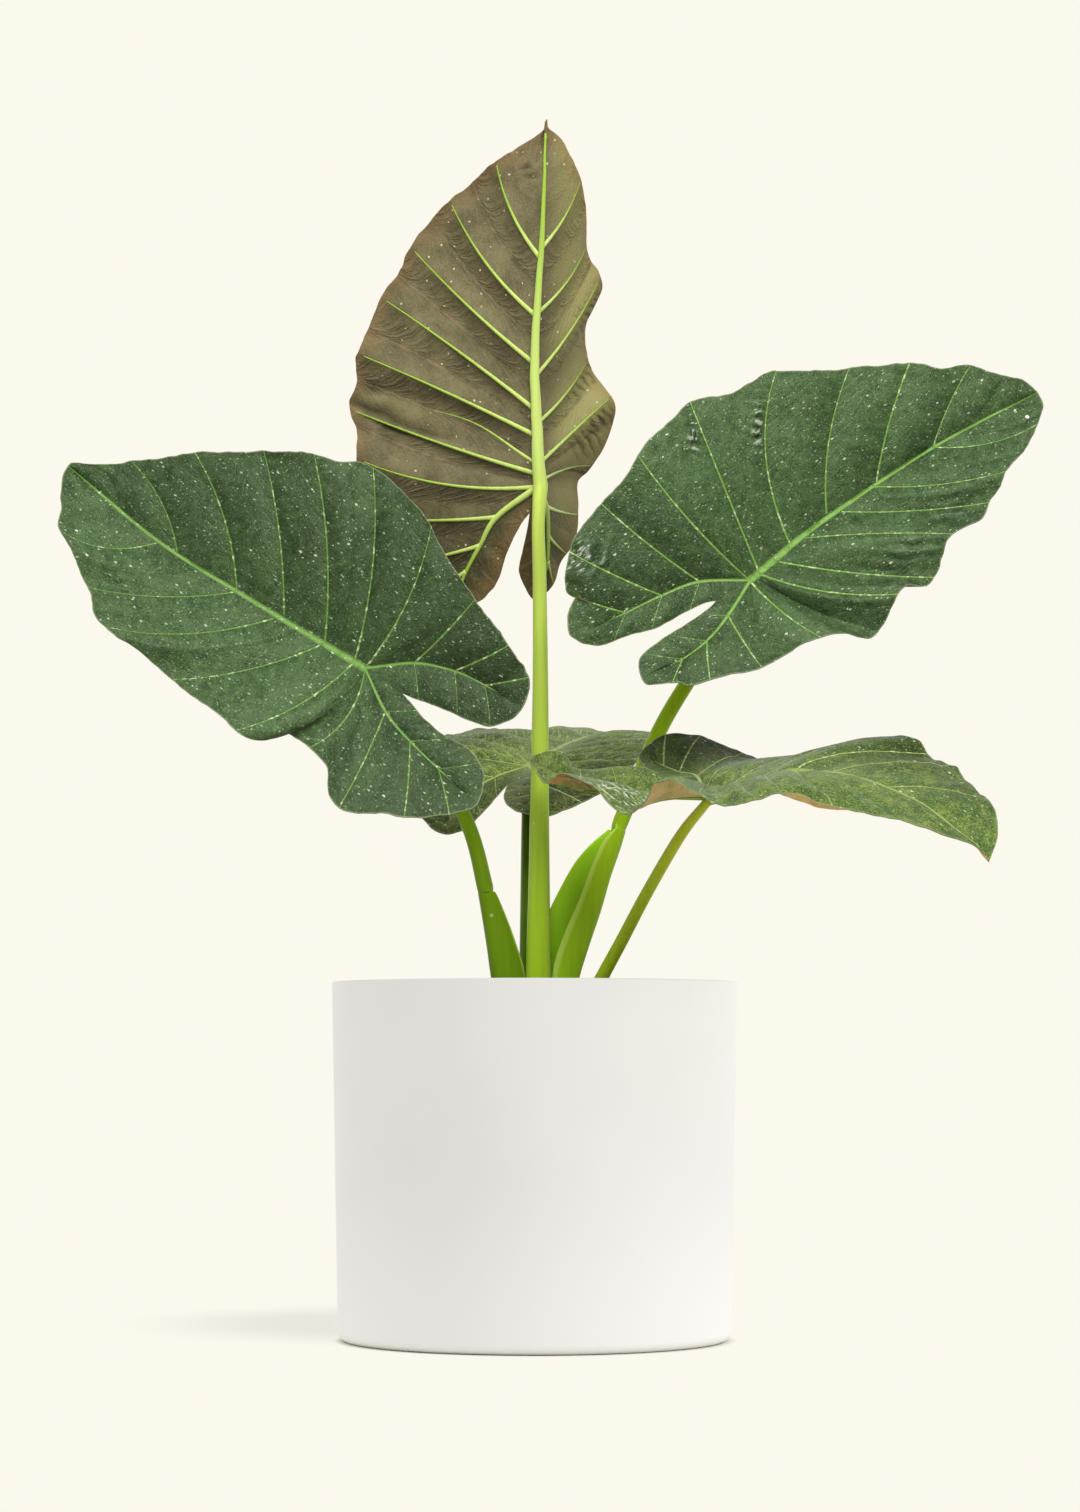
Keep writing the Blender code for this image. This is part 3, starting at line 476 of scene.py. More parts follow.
        ],
    },
    "back_leaf": {
        "junction": (-5.5, 113.0, 432.4),
        "tip_direction": (0.33, 0.90, 0.28),
        "face": (-0.09, -0.25, 0.92),
        "lift_way": (0.0, 0.0, 1.0),
        "midrib": [(0, 0, 0), (80, 0, -1), (160, 0, -8), (242, 0, -24)],
        "notch": (-50, 0, -4),
        "right": {
            "ribs": [
                (205, (228, 16, -20), (-4, 4, 0), 0), (155, (210, 40, -20), (-6, 4, 0), 1),
                (108, (178, 66, -14), (-7, 5, 0), 1), (70, (142, 88, -12), (-8, 5, 0), 1),
                (35, (98, 102, -4), (-9, 5, 0), 1), (10, (50, 104, -3), (-9, 4, 0), 1),
                (0, (4, 92, 2), (-8, 0, 0), 1),
            ],
            "lobe": [
                ((-26, 18, -2), (-40, 84, -7), (-60, 4, -3)),
                ((-52, 28, -4), (-76, 70, -14), (-78, 9, -4)),
                ((-76, 32, -7), (-100, 52, -18), (-97, 16, -7)),
            ],
            "lobe_end": ((-92, 32, -10), (-112, 32, -12)),
        },
        "left": {
            "ribs": [
                (205, (228, 16, -17), (-4, 4, 0), 0), (155, (212, 40, -10), (-6, 4, 0), 1),
                (108, (178, 66, -6), (-7, 5, 0), 1), (70, (142, 88, 4), (-8, 5, 0), 1),
                (35, (98, 102, 8), (-9, 5, 0), 1), (10, (50, 104, 15), (-9, 4, 0), 1),
                (0, (4, 92, 12), (-8, 0, 0), 1),
            ],
            "lobe": [
                ((-26, 18, -3), (-40, 84, 6), (-60, 4, -10)),
                ((-52, 28, -9), (-76, 70, -6), (-78, 10, -20)),
                ((-76, 32, -17), (-98, 54, -14), (-98, 18, -28)),
            ],
            "lobe_end": ((-92, 32, -22), (-112, 32, -26)),
        },
        "open_side": (0.0, -1.0, 0.0),
        "stalk": [
            (-5, 19, 186.4, 6.8, 0, 0), (-5, 19, 238, 7.0, 0, 0), (-5, 26, 280, 6.5, 0, 0),
            (-5, 44, 330, 5.9, 0, 0), (-5, 72, 380, 5.4, 0, 0), (-5, 97, 412, 4.9, 0, 0),
        ],
        "midrib_radius": 3.9,
        "crumples": [((60, 60), (24, 22), 50, 14, 0.9), ((60, -60), (24, 22), -50, 14, 0.9)],
    },
}


def catmull(points, t, closed=False):
    """The point at t, counted in points, on a smooth curve through all of them."""
    last = len(points) - 1
    if closed:
        k = int(math.floor(t))
        p0, p1, p2, p3 = (points[(k + j) % (last + 1)] for j in (-1, 0, 1, 2))
    else:
        k = min(max(int(math.floor(t)), 0), last - 1)
        p1, p2 = points[k], points[k + 1]
        p0 = points[k - 1] if k > 0 else 2 * p1 - p2
        p3 = points[k + 2] if k + 2 <= last else 2 * p2 - p1
    u = t - k
    return 0.5 * (2 * p1 + (p2 - p0) * u + (2 * p0 - 5 * p1 + 4 * p2 - p3) * u * u
                  + (3 * p1 - p0 - 3 * p2 + p3) * u ** 3)


def unit(vector):
    vector = np.asarray(vector, float)
    return vector / np.linalg.norm(vector)


class Leaf:
    """One blade's surface, read in leaf coordinates and placed in the plant."""

    def __init__(self, data):
        self.data = data
        self.origin = np.asarray(data["junction"], float)
        self.tip_way = unit(data["tip_direction"])
        face = np.asarray(data["face"], float)
        self.face = unit(face - self.tip_way * face.dot(self.tip_way))
        self.across = np.cross(self.tip_way, self.face)
        self.lift_way = unit(data["lift_way"])
        self.midrib = np.asarray(data["midrib"], float)
        self.length = self.midrib[-1][0]
        self.halves = {side: self.make_half(side) for side in ("right", "left")}

    def world(self, places):
        """Places on the blade, across counted to the right, as world millimetres."""
        places = np.asarray(places, float)
        axes = np.array([self.tip_way, self.across, self.lift_way])
        return self.origin + places @ axes

    def midrib_at(self, along):
        """The midrib's place, by its distance from the junction."""
        stations = self.midrib[:, 0]
        k = int(np.searchsorted(stations, along, side="right")) - 1
        k = min(max(k, 0), len(stations) - 2)
        t = k + (along - stations[k]) / (stations[k + 1] - stations[k])
        place = catmull(self.midrib, t)
        place[0] = along
        return place

    def make_half(self, side):
        """Row roots, ends, bends and vein strengths, from the tip round the lobe to the notch."""
        sign = 1.0 if side == "right" else -1.0
        half = self.data[side]

        def signed(place):
            return np.array([place[0], sign * place[1], place[2]], float)

        lobe_count = len(half["lobe"])
        front_roots = [self.length] + [rib[0] for rib in half["ribs"]]
        spine = [np.zeros(3)] + [signed(row[0]) for row in half["lobe"]]
        spine.append(signed(half["lobe_end"][0]))
        ends = [self.midrib[-1]] + [signed(rib[1]) for rib in half["ribs"]]
        ends += [signed(row[1]) for row in half["lobe"]]
        ends.append(signed(half["lobe_end"][1]))
        ends += [signed(row[2]) for row in reversed(half["lobe"])]
        ends.append(np.asarray(self.data["notch"], float))
        bends = [np.zeros(3)] + [signed(rib[2]) for rib in half["ribs"]]
        strengths = [0.0] + [rib[3] for rib in half["ribs"]]
        strengths += [1.0] * lobe_count + [0.0] + [INNER_VEIN_SHARE] * lobe_count + [0.0]
        for t in range(len(bends), len(ends)):
            turned = min(t - len(half["ribs"]), len(ends) - 1 - t)
            reach = np.linalg.norm(ends[t] - spine[max(turned, 0)])
            bends.append(np.array([-LOBE_ROW_BOW * reach, 0.0, 0.0]))
        made = {"front_roots": np.array(front_roots, float), "spine": np.array(spine),
                "ends": np.array(ends), "bends": np.array(bends), "strengths": strengths}
        if "outline" in half:
            points = np.array([(place[0], sign * place[1], *place[2:]) for place in half["outline"]], float)
            made["outline"] = points
            made["outline_rows"] = self.match_rows(points, made["ends"])
        return made

    def match_rows(self, points, ends):
        """For each row end, the place along the outline that lies nearest, counted in points."""
        fine = np.arange(0, (len(points) - 1) * OUTLINE_STEPS + 1) / OUTLINE_STEPS
        dense = np.array([catmull(points, t) for t in fine])
        picked = [0]
        for end in ends[1:-1]:
            distance = np.linalg.norm(dense[picked[-1] + 1:, :2] - end[:2], axis=1)
            reach = min(len(distance), OUTLINE_REACH)
            picked.append(picked[-1] + 1 + int(np.argmin(distance[:reach])))
        return np.append(fine[picked], len(points) - 1.0)

    def front_rows(self, side):
        return len(self.halves[side]["front_roots"]) - 1

    def row_of_root(self, side, along):
        roots = self.halves[side]["front_roots"]
        return float(np.interp(-along, -roots, np.arange(len(roots))))

    def root(self, side, t):
        half = self.halves[side]
        front = self.front_rows(side)
        if t <= front:
            return self.midrib_at(float(np.interp(t, np.arange(front + 1), half["front_roots"])))
        turn = len(half["spine"]) - 1
        q = t - front
        return catmull(half["spine"], q if q <= turn else 2 * turn - q)

    def edge(self, side, t):
        """The place on the margin at row t: the fine outline with the model's lift."""
        half = self.halves[side]
        end = catmull(half["ends"], t)
        if "outline" in half:
            rows = half["outline_rows"]
            place = catmull(half["outline"], float(np.interp(t, np.arange(len(rows)), rows)))
            end[:len(place)] = place
        spot = Vector((end[0], end[1], 0.0)) / MARGIN_WAVE_LENGTH
        out = end - self.root(side, t)
        reach = np.linalg.norm(out)
        wave = MARGIN_WAVE * min(reach / WAVE_FULL_REACH, 1.0) * noise.noise(spot)
        return end + out * wave / max(reach, 1.0)

    def row_gap(self, side, t):
        """How far apart the ribs on both sides of row t are at the margin."""
        ends = self.halves[side]["ends"]
        k = min(int(t), len(ends) - 2)
        return np.linalg.norm(ends[k + 1] - ends[k])

    def surface(self, side, t, shares):
        """The blade's upper face along row t, at shares of the way from rib to margin."""
        shares = np.asarray(shares, float)
        start = self.root(side, t)
        end = self.edge(side, t)
        reach = np.linalg.norm(end - start)
        bend = catmull(self.halves[side]["bends"], t)
        hump = 4 * shares * (1 - shares)
        places = start + np.outer(shares, end - start)
        places[:, :2] += np.outer(hump, bend[:2])
        places[:, 2] += bend[2] * np.sin(math.pi * shares ** CREST_POWER)
        share = SWELL_SHARE if t <= self.front_rows(side) else LOBE_SWELL_SHARE
        swell = min(share * self.row_gap(side, t), SWELL_MOST) * self.data[side].get("swell", 1.0)
        lean = math.sin(math.pi * (t % 1.0) ** SWELL_LEAN)
        places[:, 2] += swell * lean * np.sin(math.pi * shares ** SWELL_OUT_POWER)
        places[:, 2] += CAMBER * reach * hump
        for first, last, depth in self.data[side].get("curls", []):
            if first < t < last:
                dip = math.sin(math.pi * (t - first) / (last - first))
                dips = np.clip((shares - CURL_FROM) / (1.0 - CURL_FROM), 0.0, 1.0)
                places[:, 2] -= depth * dip * np.sin(math.pi * dips)
        for place, share in zip(places, shares):
            spot = Vector((place[0], place[1], self.length)) / RUFFLE_LENGTH
            grow = RUFFLE_INSIDE + (1.0 - RUFFLE_INSIDE) * share ** RUFFLE_POWER
            grow *= min(reach / RUFFLE_FULL_REACH, 1.0) * min(share * RUFFLE_STARTS, 1.0)
            rough = noise.noise(spot) + RUFFLE_FINE * noise.noise(spot * RUFFLE_FINER)
            place[2] += RUFFLE * grow * rough
        places[:, 2] += self.pleats(t, shares, places)
        return places

    def pleats(self, t, shares, places):
        """How far pleats and puckers lift the places of row t. They fade out at the ribs."""
        off_rib = min(1.0, PLEAT_OFF_RIB * math.sin(math.pi * (t % 1.0)))
        lifts = np.array([self.crumple(place[0], place[1]) for place in places])
        return off_rib * np.minimum(np.asarray(shares, float) * PLEAT_STARTS, 1.0) * lifts

    def crumple(self, along, across):
        """The lift of all crumples at one place: waves across each one's way that fade outwards."""
        lift = 0.0
        for middle, reach, way, pitch, height in self.data.get("crumples", []):
            step, turn = (along - middle[0], across - middle[1]), math.radians(way)
            over = step[0] * math.cos(turn) + step[1] * math.sin(turn)
            beside = step[1] * math.cos(turn) - step[0] * math.sin(turn)
            fade = math.exp(-(over / reach[0]) ** 2 - (beside / reach[1]) ** 2)
            if fade < CRUMPLE_GONE:
                continue
            bend = CRUMPLE_BEND * noise.noise(Vector((along, across, CRUMPLE_LAYER)) / pitch)
            lift += height * fade * math.sin(math.tau * over / pitch + bend)
        return lift

    def normal(self, side, t, share):
        """The upper face's unit normal in world axes, level across a rib."""
        before, after = (self.world(self.surface(side, max(t + step, 0.0), [share]))[0]
                         for step in (-SLOPE_ROWS, SLOPE_ROWS))
        ends = [max(share - SLOPE_SHARE, 0.0), min(share + SLOPE_SHARE, 1.0)]
        inward, outward = self.world(self.surface(side, t, ends))
        cross = np.cross(after - before, outward - inward)
        return unit(cross if cross.dot(self.face) > 0 else -cross)


def new_object(name, mesh, materials):
    for made in materials:
        mesh.materials.append(made)
    piece = bpy.data.objects.new(name, mesh)
    bpy.context.scene.collection.objects.link(piece)
    return piece


def mesh_from(name, points, faces):
    mesh = bpy.data.meshes.new(name)
    mesh.from_pydata((np.asarray(points) * MM).tolist(), [], faces)
    mesh.update()
    return mesh


def set_attribute(mesh, name, values):
    values = np.asarray(values, np.float32)
    kind = "FLOAT_VECTOR" if values.ndim == 2 else "FLOAT"
    field = "vector" if values.ndim == 2 else "value"
    mesh.attributes.new(name, kind, "POINT").data.foreach_set(field, values.ravel())


def row_stations(leaf, side):
    """Row numbers of one half: through every rib of both halves, evenly filled in between."""
    marks = {float(root) for half in leaf.halves.values() for root in half["front_roots"]}
    marks = sorted(marks, reverse=True)
    alongs = []
    for upper, lower in zip(marks, marks[1:]):
        margins = [np.linalg.norm(leaf.edge(half, leaf.row_of_root(half, upper))
                                  - leaf.edge(half, leaf.row_of_root(half, lower))) for half in leaf.halves]
        count = max(1, round((upper - lower) / ROW_SPACING), round(max(margins) / MARGIN_SPACING))
        alongs += [upper + (lower - upper) * k / count for k in range(count)]
    rows = [leaf.row_of_root(side, along) for along in alongs + [0.0]]
    first, last = leaf.front_rows(side), len(leaf.halves[side]["ends"]) - 1
    return rows + [first + k / LOBE_ROWS for k in range(1, (last - first) * LOBE_ROWS + 1)]


def main_vein_width(leaf, side, t):
    """Half the width of the midrib, or of the lobe's rib, seen from above at row t."""
    front = leaf.front_rows(side)
    if t <= front:
        return MAIN_VEIN * (1.0 - MAIN_VEIN_TAPER * leaf.root(side, t)[0] / leaf.length)
    turn = len(leaf.halves[side]["spine"]) - 1
    q = t - front
    out = (q if q <= turn else 2 * turn - q) / turn
    return LOBE_VEIN * (1.0 - LOBE_RIB_TAPER * out)


def row_marks(leaf, side, t, shares, places, last):
    """What the materials read along one row: distances to the veins and to the margin, and pleats."""
    ends = leaf.surface(side, t, [0.0, 1.0])
    reach = np.linalg.norm(ends[1] - ends[0])
    low, high = max(t - MARK_ROWS, 0.0), min(t + MARK_ROWS, last)
    step = leaf.surface(side, high, shares) - leaf.surface(side, low, shares)
    spread = np.linalg.norm(step, axis=1) / (high - low)
    strength = max(leaf.halves[side]["strengths"][round(t)], NO_VEIN)
    rib_above = min(leaf.halves[side]["strengths"][int(t)], 1.0)
    gap_share = abs(t - round(t))
    side_width = SIDE_VEIN * strength * (1.0 - SIDE_VEIN_TAPER * shares)
    sweep = FEATHER_SWEEP * math.log(max(1.0 - 2.0 * gap_share, FEATHER_LEAST))
    return {
        "side_vein": np.minimum(gap_share * spread / side_width, VEIN_FAR),
        "main_vein": np.minimum(shares * reach / main_vein_width(leaf, side, t), VEIN_FAR),
        "feather": (shares * reach + sweep) / FEATHER_PITCH,
        "middle": (0.5 - gap_share) * spread,
        # Where the underside paints each panel's shade next to the rib above it
        "below_rib": np.full(len(shares), 1.0 - (1.0 - t % 1.0) * rib_above),
        "out": shares,
        "to_margin": (1 - shares) * reach,
        "pleat": leaf.pleats(t, shares, places),
    }


def make_blade(name, leaf, upper, under, rim_slot):
    """The fine waved sheet with the places that its materials read, made thick."""
    shares = np.linspace(0.0, 1.0, COLUMNS + 1) ** COLUMN_POWER
    points, faces, marks, flat_places = [], [], [], []
    for side in leaf.halves:
        rows = row_stations(leaf, side)
        first = len(points)
        for t in rows:
            places = leaf.surface(side, t, shares)
            marks.append(row_marks(leaf, side, t, shares, places, rows[-1]))
            flat_places += list(places)
            points += list(leaf.world(places))
        width = COLUMNS + 1
        for r in range(len(rows) - 1):
            for c in range(COLUMNS):
                a = first + r * width + c
                corners = (a, a + 1, a + width + 1, a + width)
                faces.append(corners if side == "left" else corners[::-1])
    for hole in leaf.data.get("holes", []):
        faces = [face for face in faces if not inside_hole(hole, [flat_places[k] for k in face])]
    mesh = mesh_from(name, points, faces)
    for key in marks[0]:
        set_attribute(mesh, key, np.concatenate([row[key] for row in marks]))
    set_attribute(mesh, "place", np.asarray(flat_places) * CENTIMETRE)
    shape = bmesh.new()
    shape.from_mesh(mesh)
    bmesh.ops.delete(shape, geom=[v for v in shape.verts if not v.link_faces], context="VERTS")
    bmesh.ops.remove_doubles(shape, verts=shape.verts, dist=MERGE_DISTANCE * MM)
    bmesh.ops.recalc_face_normals(shape, faces=shape.faces)
    facing = sum((face.normal * face.calc_area() for face in shape.faces), Vector())
    if facing.dot(Vector(leaf.face)) < 0:
        bmesh.ops.reverse_faces(shape, faces=shape.faces)
    shape.to_mesh(mesh)
    shape.free()
    blade = new_object(name, mesh, [upper, under])
    thick = blade.modifiers.new("thickness", "SOLIDIFY")
    thick.thickness = BLADE_THICKNESS * MM
    thick.offset = -1.0
    thick.material_offset = 1
    thick.material_offset_rim = rim_slot
    bpy.context.view_layer.update()
    solid = bpy.data.meshes.new_from_object(blade.evaluated_get(bpy.context.evaluated_depsgraph_get()))
    blade.modifiers.clear()
    blade.data = solid
    solid.shade_smooth()
    solid.set_sharp_from_angle(angle=math.radians(BLADE_SHARP))
    return blade


def inside_hole(hole, corners):
    """Whether a face's middle lies in an eaten hole, given as (along, across) and its half sizes."""
    middle = np.mean(corners, axis=0)
    return ((middle[0] - hole[0]) / hole[2]) ** 2 + ((middle[1] - hole[1]) / hole[3]) ** 2 < 1.0


def round_section(radius, count):
    """A round section, its points in the same order as a channel's."""
    turns = [math.pi + math.tau * k / count for k in range(count)]
    return np.array([(radius * math.cos(a), radius * math.sin(a)) for a in turns])


def channel_section(radius, wings):
    """An open sheath's section: a round back, two thin wings towards +y, a channel between.

    The bare numbers are shares of the radius or of a wing's height.
    """
    outer, inner = [], []
    for sign, wing in zip((-1.0, 1.0), wings):
        outer.append([(sign * (radius - 0.04 * wing), wing), (sign * (radius + 0.02 * wing), wing / 2),
                      (sign * radius, 0.0), (sign * radius * 0.7, -radius * 0.7)])
        inner.append([(sign * (radius - 0.04 * wing - WING_EDGE), wing - WING_EDGE_DROP),
                      (sign * (radius - WING_ROOT), wing / 2), (sign * radius * 0.45, 0.3 * radius)])
    left, right = outer
    points = left + [(0.0, -radius)] + right[::-1] + inner[1] + [(0.0, 0.2 * radius)] + inner[0][::-1]
    return np.array(points)


def stalk_section(radius, wings):
    """The fine section at one place on a stalk, which opens smoothly into its sheath."""
    shape = round_section(radius, CHANNEL_POINTS)
    open_share = min(max(wings) / SHEATH_OPENS, 1.0)
    if open_share > 0.0:
        wings = [max(wing, SHEATH_OPENS / 2) for wing in wings]
        shape = shape * (1 - open_share) + channel_section(radius, wings) * open_share
    steps = np.arange(SECTION_POINTS) * len(shape) / SECTION_POINTS
    return np.array([catmull(shape, t, closed=True) for t in steps])


def midrib_radius(leaf, along):
    """The rib's radius under the blade, flared where it leaves the stalk."""
    base = leaf.data["midrib_radius"]
    flare = leaf.data.get("flare", 0.0) * math.exp(-along / FLARE_LENGTH)
    return base * (1 - MIDRIB_TAPER * along / leaf.length) + flare


def midrib_centre(leaf, along):
    """The middle of the rib under the blade, and the way that is up there."""
    normals = [leaf.normal(side, leaf.row_of_root(side, along), SLOPE_SHARE) for side in leaf.halves]
    up = unit(normals[0] + normals[1])
    depth = BLADE_THICKNESS - RIB_SINK + MIDRIB_SQUASH * midrib_radius(leaf, along)
    return leaf.world(leaf.midrib_at(along)) - up * depth, up


def add_tube(points, faces, rings):
    """Adds a closed tube through rings of points to a growing mesh."""
    start = len(points)
    count = len(rings[0])
    for ring in rings:
        points.extend(ring)
    for r in range(len(rings) - 1):
        for k in range(count):
            j = (k + 1) % count
            a = start + r * count
            faces.append((a + k, a + j, a + count + j, a + count + k))
    faces.append(tuple(range(start + count - 1, start - 1, -1)))
    last = start + (len(rings) - 1) * count
    faces.append(tuple(range(last, last + count)))


def stalk_rings(leaf):
    """Rings up the stalk from the corm, round the bend under the blade and out to the tip."""
    controls = np.asarray(leaf.data["stalk"], float)
    join, join_up = midrib_centre(leaf, 0.0)
    controls = np.vstack([controls, [*join, midrib_radius(leaf, 0.0), 0, 0]])
    last = (len(controls) - 1) * STALK_STEPS
    winged = [k * STALK_STEPS for k, row in enumerate(controls) if row[4:].any()]
    turn_from = max(winged, default=0)
    open_side = unit(leaf.data["open_side"])
    rows = []
    for k in range(last + 1):
        sample = catmull(controls, k / STALK_STEPS)
        if k < STALK_STEPS:
            sample[:2] = controls[0][:2]
        share = max(k - turn_from, 0) / (last - turn_from)
        up = open_side * (1 - share) + join_up * share
        squash = 1.0 - (1.0 - MIDRIB_SQUASH) * max(0.0, 1.0 - (1.0 - share) * SQUASH_PACE)
        rows.append((sample[:3], up, sample[3], np.maximum(sample[4:], 0.0), squash))
    rises = [k / last for k in range(last + 1)]
    for k in range(1, MIDRIB_STATIONS + 1):
        along = leaf.length * MIDRIB_REACH * k / MIDRIB_STATIONS
        centre, up = midrib_centre(leaf, along)
        rows.append((centre, up, midrib_radius(leaf, along), np.zeros(2), MIDRIB_SQUASH))
        rises.append(1.0 + k / MIDRIB_STATIONS)
    rings, openness = [], []
    for k, (centre, up, radius, wings, squash) in enumerate(rows):
        forward = unit(rows[min(k + 1, len(rows) - 1)][0] - rows[max(k - 1, 0)][0])
        y_axis = unit(up - forward * up.dot(forward))
        x_axis = np.cross(y_axis, forward)
        section = stalk_section(radius, wings)
        rings.append([centre + x_axis * x + y_axis * y * squash for x, y in section])
        openness.append(min(max(wings) / SHEATH_OPENS, 1.0))
    return rings, rises, openness


def rib_ring(top, forward, normal, thick):
    """One ring of a rib, from its place on the upper face: round below the blade, flat in it."""
    sideways = unit(np.cross(normal, forward))
    centre = top - normal * (BLADE_THICKNESS - RIB_SINK)
    ring = []
    for k in range(RIB_SIDES):
        x, y = math.cos(math.tau * k / RIB_SIDES), math.sin(math.tau * k / RIB_SIDES)
        proud = RIB_BURIED if y > 0 else RIB_PROUD
        ring.append(centre + sideways * thick * x + normal * thick * proud * y)
    return ring


def side_rib_rings(leaf, side, rows, reach, radius):
    """Rings of one side rib, sunk in the blade's underside. It follows the rows given, evenly spaced."""
    shares = np.linspace(0.0, reach, RIB_POINTS)
    followed = [catmull(np.asarray(rows, float), share / reach * (len(rows) - 1)) for share in shares]
    tops = [leaf.world(leaf.surface(side, t, [share]))[0] for t, share in zip(followed, shares)]
    rings = []
    for k, (t, share) in enumerate(zip(followed, shares)):
        forward = unit(tops[min(k + 1, RIB_POINTS - 1)] - tops[max(k - 1, 0)])
        thick = radius * (1 - (1 - RIB_TIP_SHARE) * math.sqrt(k / (RIB_POINTS - 1)))
        if k == RIB_POINTS - 1:
            thick *= RIB_END_SHARE
        rings.append(rib_ring(tops[k], forward, leaf.normal(side, t, share), thick))
    return rings


def lobe_rib_rings(leaf, side):
    """Rings of the rib that runs out along a basal lobe."""
    half = leaf.halves[side]
    front, turn = leaf.front_rows(side), len(half["spine"]) - 1
    rows = []
    for q in np.linspace(LOBE_RIB_FROM, turn * LOBE_RIB_REACH, RIB_POINTS):
        both = (front + q, front + 2 * turn - q)
        up = unit(sum(leaf.normal(side, t, LOBE_RIB_SIDE) for t in both))
        thick = LOBE_RIB_RADIUS * (1 - LOBE_RIB_TAPER * q / turn)
        rows.append((leaf.world(catmull(half["spine"], q)), up, thick))
    rings = []
    for k, (top, up, thick) in enumerate(rows):
        forward = unit(rows[min(k + 1, len(rows) - 1)][0] - rows[max(k - 1, 0)][0])
        rings.append(rib_ring(top, forward, up, thick))
    return rings


def make_stalk(name, leaf, finish):
    """The stalk with its sheath, and all the raised ribs under the blade."""
    points, faces = [], []
    rings, rises, openness = stalk_rings(leaf)
    add_tube(points, faces, rings)
    rise = np.repeat(rises, SECTION_POINTS).tolist()
    opened = np.array(openness)[:, None]
    turns = np.arange(SECTION_POINTS) / SECTION_POINTS
    near_edge = sum(np.exp(-((turns - place) / SHEATH_EDGE_WIDTH) ** 2) for place in SHEATH_EDGE_TURNS)
    edge = (opened * near_edge[None, :]).ravel().tolist()
    within = (turns > SHEATH_INSIDE_TURNS[0]) & (turns < SHEATH_INSIDE_TURNS[1])
    inside = (opened * within[None, :]).ravel().tolist()
    for side, half in leaf.halves.items():
        outer = half["strengths"][:leaf.front_rows(side) + len(half["spine"]) - 1]
        ribs = [side_rib_rings(leaf, side, [t, t], RIB_REACH, RIB_RADIUS * strength)
                for t, strength in enumerate(outer) if strength > 0]
        ribs += [side_rib_rings(leaf, side, rows, reach, RIB_RADIUS * strength)
                 for rows, reach, strength in leaf.data[side].get("short_ribs", [])]
        ribs.append(lobe_rib_rings(leaf, side))
        for rib in ribs:
            add_tube(points, faces, rib)
            rise += (1.0 + np.repeat(np.linspace(RIB_RISE, 1.0, len(rib)), RIB_SIDES)).tolist()
    mesh = mesh_from(name, points, faces)
    bare = [0.0] * (len(points) - len(edge))
    set_attribute(mesh, "rise", rise)
    set_attribute(mesh, "sheath_edge", edge + bare)
    set_attribute(mesh, "sheath_inside", inside + bare)
    mesh.shade_smooth()
    shape = bmesh.new()
    shape.from_mesh(mesh)
    bmesh.ops.recalc_face_normals(shape, faces=shape.faces)
    shape.to_mesh(mesh)
    shape.free()
    return new_object(name, mesh, [finish])


def arc(centre, radius, start, stop, steps):
    """Points along an arc from one angle to another, in degrees."""
    angles = [math.radians(start + (stop - start) * k / steps) for k in range(steps + 1)]
    return [(centre[0] + radius * math.cos(a), centre[1] + radius * math.sin(a)) for a in angles]


def pot_inner_radius(height):
    return POT_BASE_RADIUS + (POT_TOP_RADIUS - POT_BASE_RADIUS) * height / POT_HEIGHT - POT_WALL


def turned(name, profile, sides, finish):
    """A solid spun round the vertical axis from (radius, height) points that start and end on it."""
    shape = bmesh.new()
    points = [shape.verts.new((radius * MM, 0.0, height * MM)) for radius, height in profile]
    edges = [shape.edges.new(pair) for pair in zip(points, points[1:])]
    bmesh.ops.spin(shape, geom=points + edges, cent=(0, 0, 0), axis=(0, 0, 1),
                   angle=math.tau, steps=sides, use_duplicate=False)
    bmesh.ops.remove_doubles(shape, verts=shape.verts, dist=POT_MERGE * MM)
    bmesh.ops.recalc_face_normals(shape, faces=shape.faces)
    mesh = bpy.data.meshes.new(name)
    shape.to_mesh(mesh)
    shape.free()
    mesh.shade_smooth()
    mesh.set_sharp_from_angle(angle=math.radians(POT_SHARP))
    return new_object(name, mesh, [finish])


def make_pot(finish):
    """The pot's wall and floor: a round foot, a slightly flared wall and a thin round lip."""
    foot = arc((POT_BASE_RADIUS - POT_FOOT_ROUND, POT_FOOT_ROUND), POT_FOOT_ROUND, -90, 0, FOOT_STEPS)
    wall = [(POT_BASE_RADIUS + (POT_TOP_RADIUS - POT_BASE_RADIUS) * share, POT_HEIGHT * share)
            for share in (0.25, 0.5, 0.75)]
    outer_lip = arc((POT_TOP_RADIUS - POT_LIP_ROUND, POT_HEIGHT - POT_LIP_ROUND),
                    POT_LIP_ROUND, 0, 90, LIP_STEPS)
    inner_lip = arc((pot_inner_radius(POT_HEIGHT) + POT_LIP_ROUND, POT_HEIGHT - POT_LIP_ROUND),
                    POT_LIP_ROUND, 90, 180, LIP_STEPS)
    profile = [(0.0, 0.0)] + foot + wall + outer_lip + inner_lip
    profile += [(pot_inner_radius(POT_FLOOR), POT_FLOOR), (0.0, POT_FLOOR)]
    return turned("pot_fine", profile, POT_SIDES, finish)


def soil_height(x, y):
    """The mix's uneven top."""
    distance = math.hypot(x, y)
    edge = pot_inner_radius(SOIL_LEVEL)
    share = max(0.0, 1 - distance / (edge - SOIL_EDGE))
    spot = Vector((x, y, SOIL_LAYER))
    rough = sum(height * noise.noise(spot / length) for height, length in SOIL_ROUGH)
    rough *= min(1.0, (edge - distance) / SOIL_FLAT_EDGE)
    return SOIL_LEVEL + SOIL_MOUND * share ** SOIL_MOUND_POWER + rough


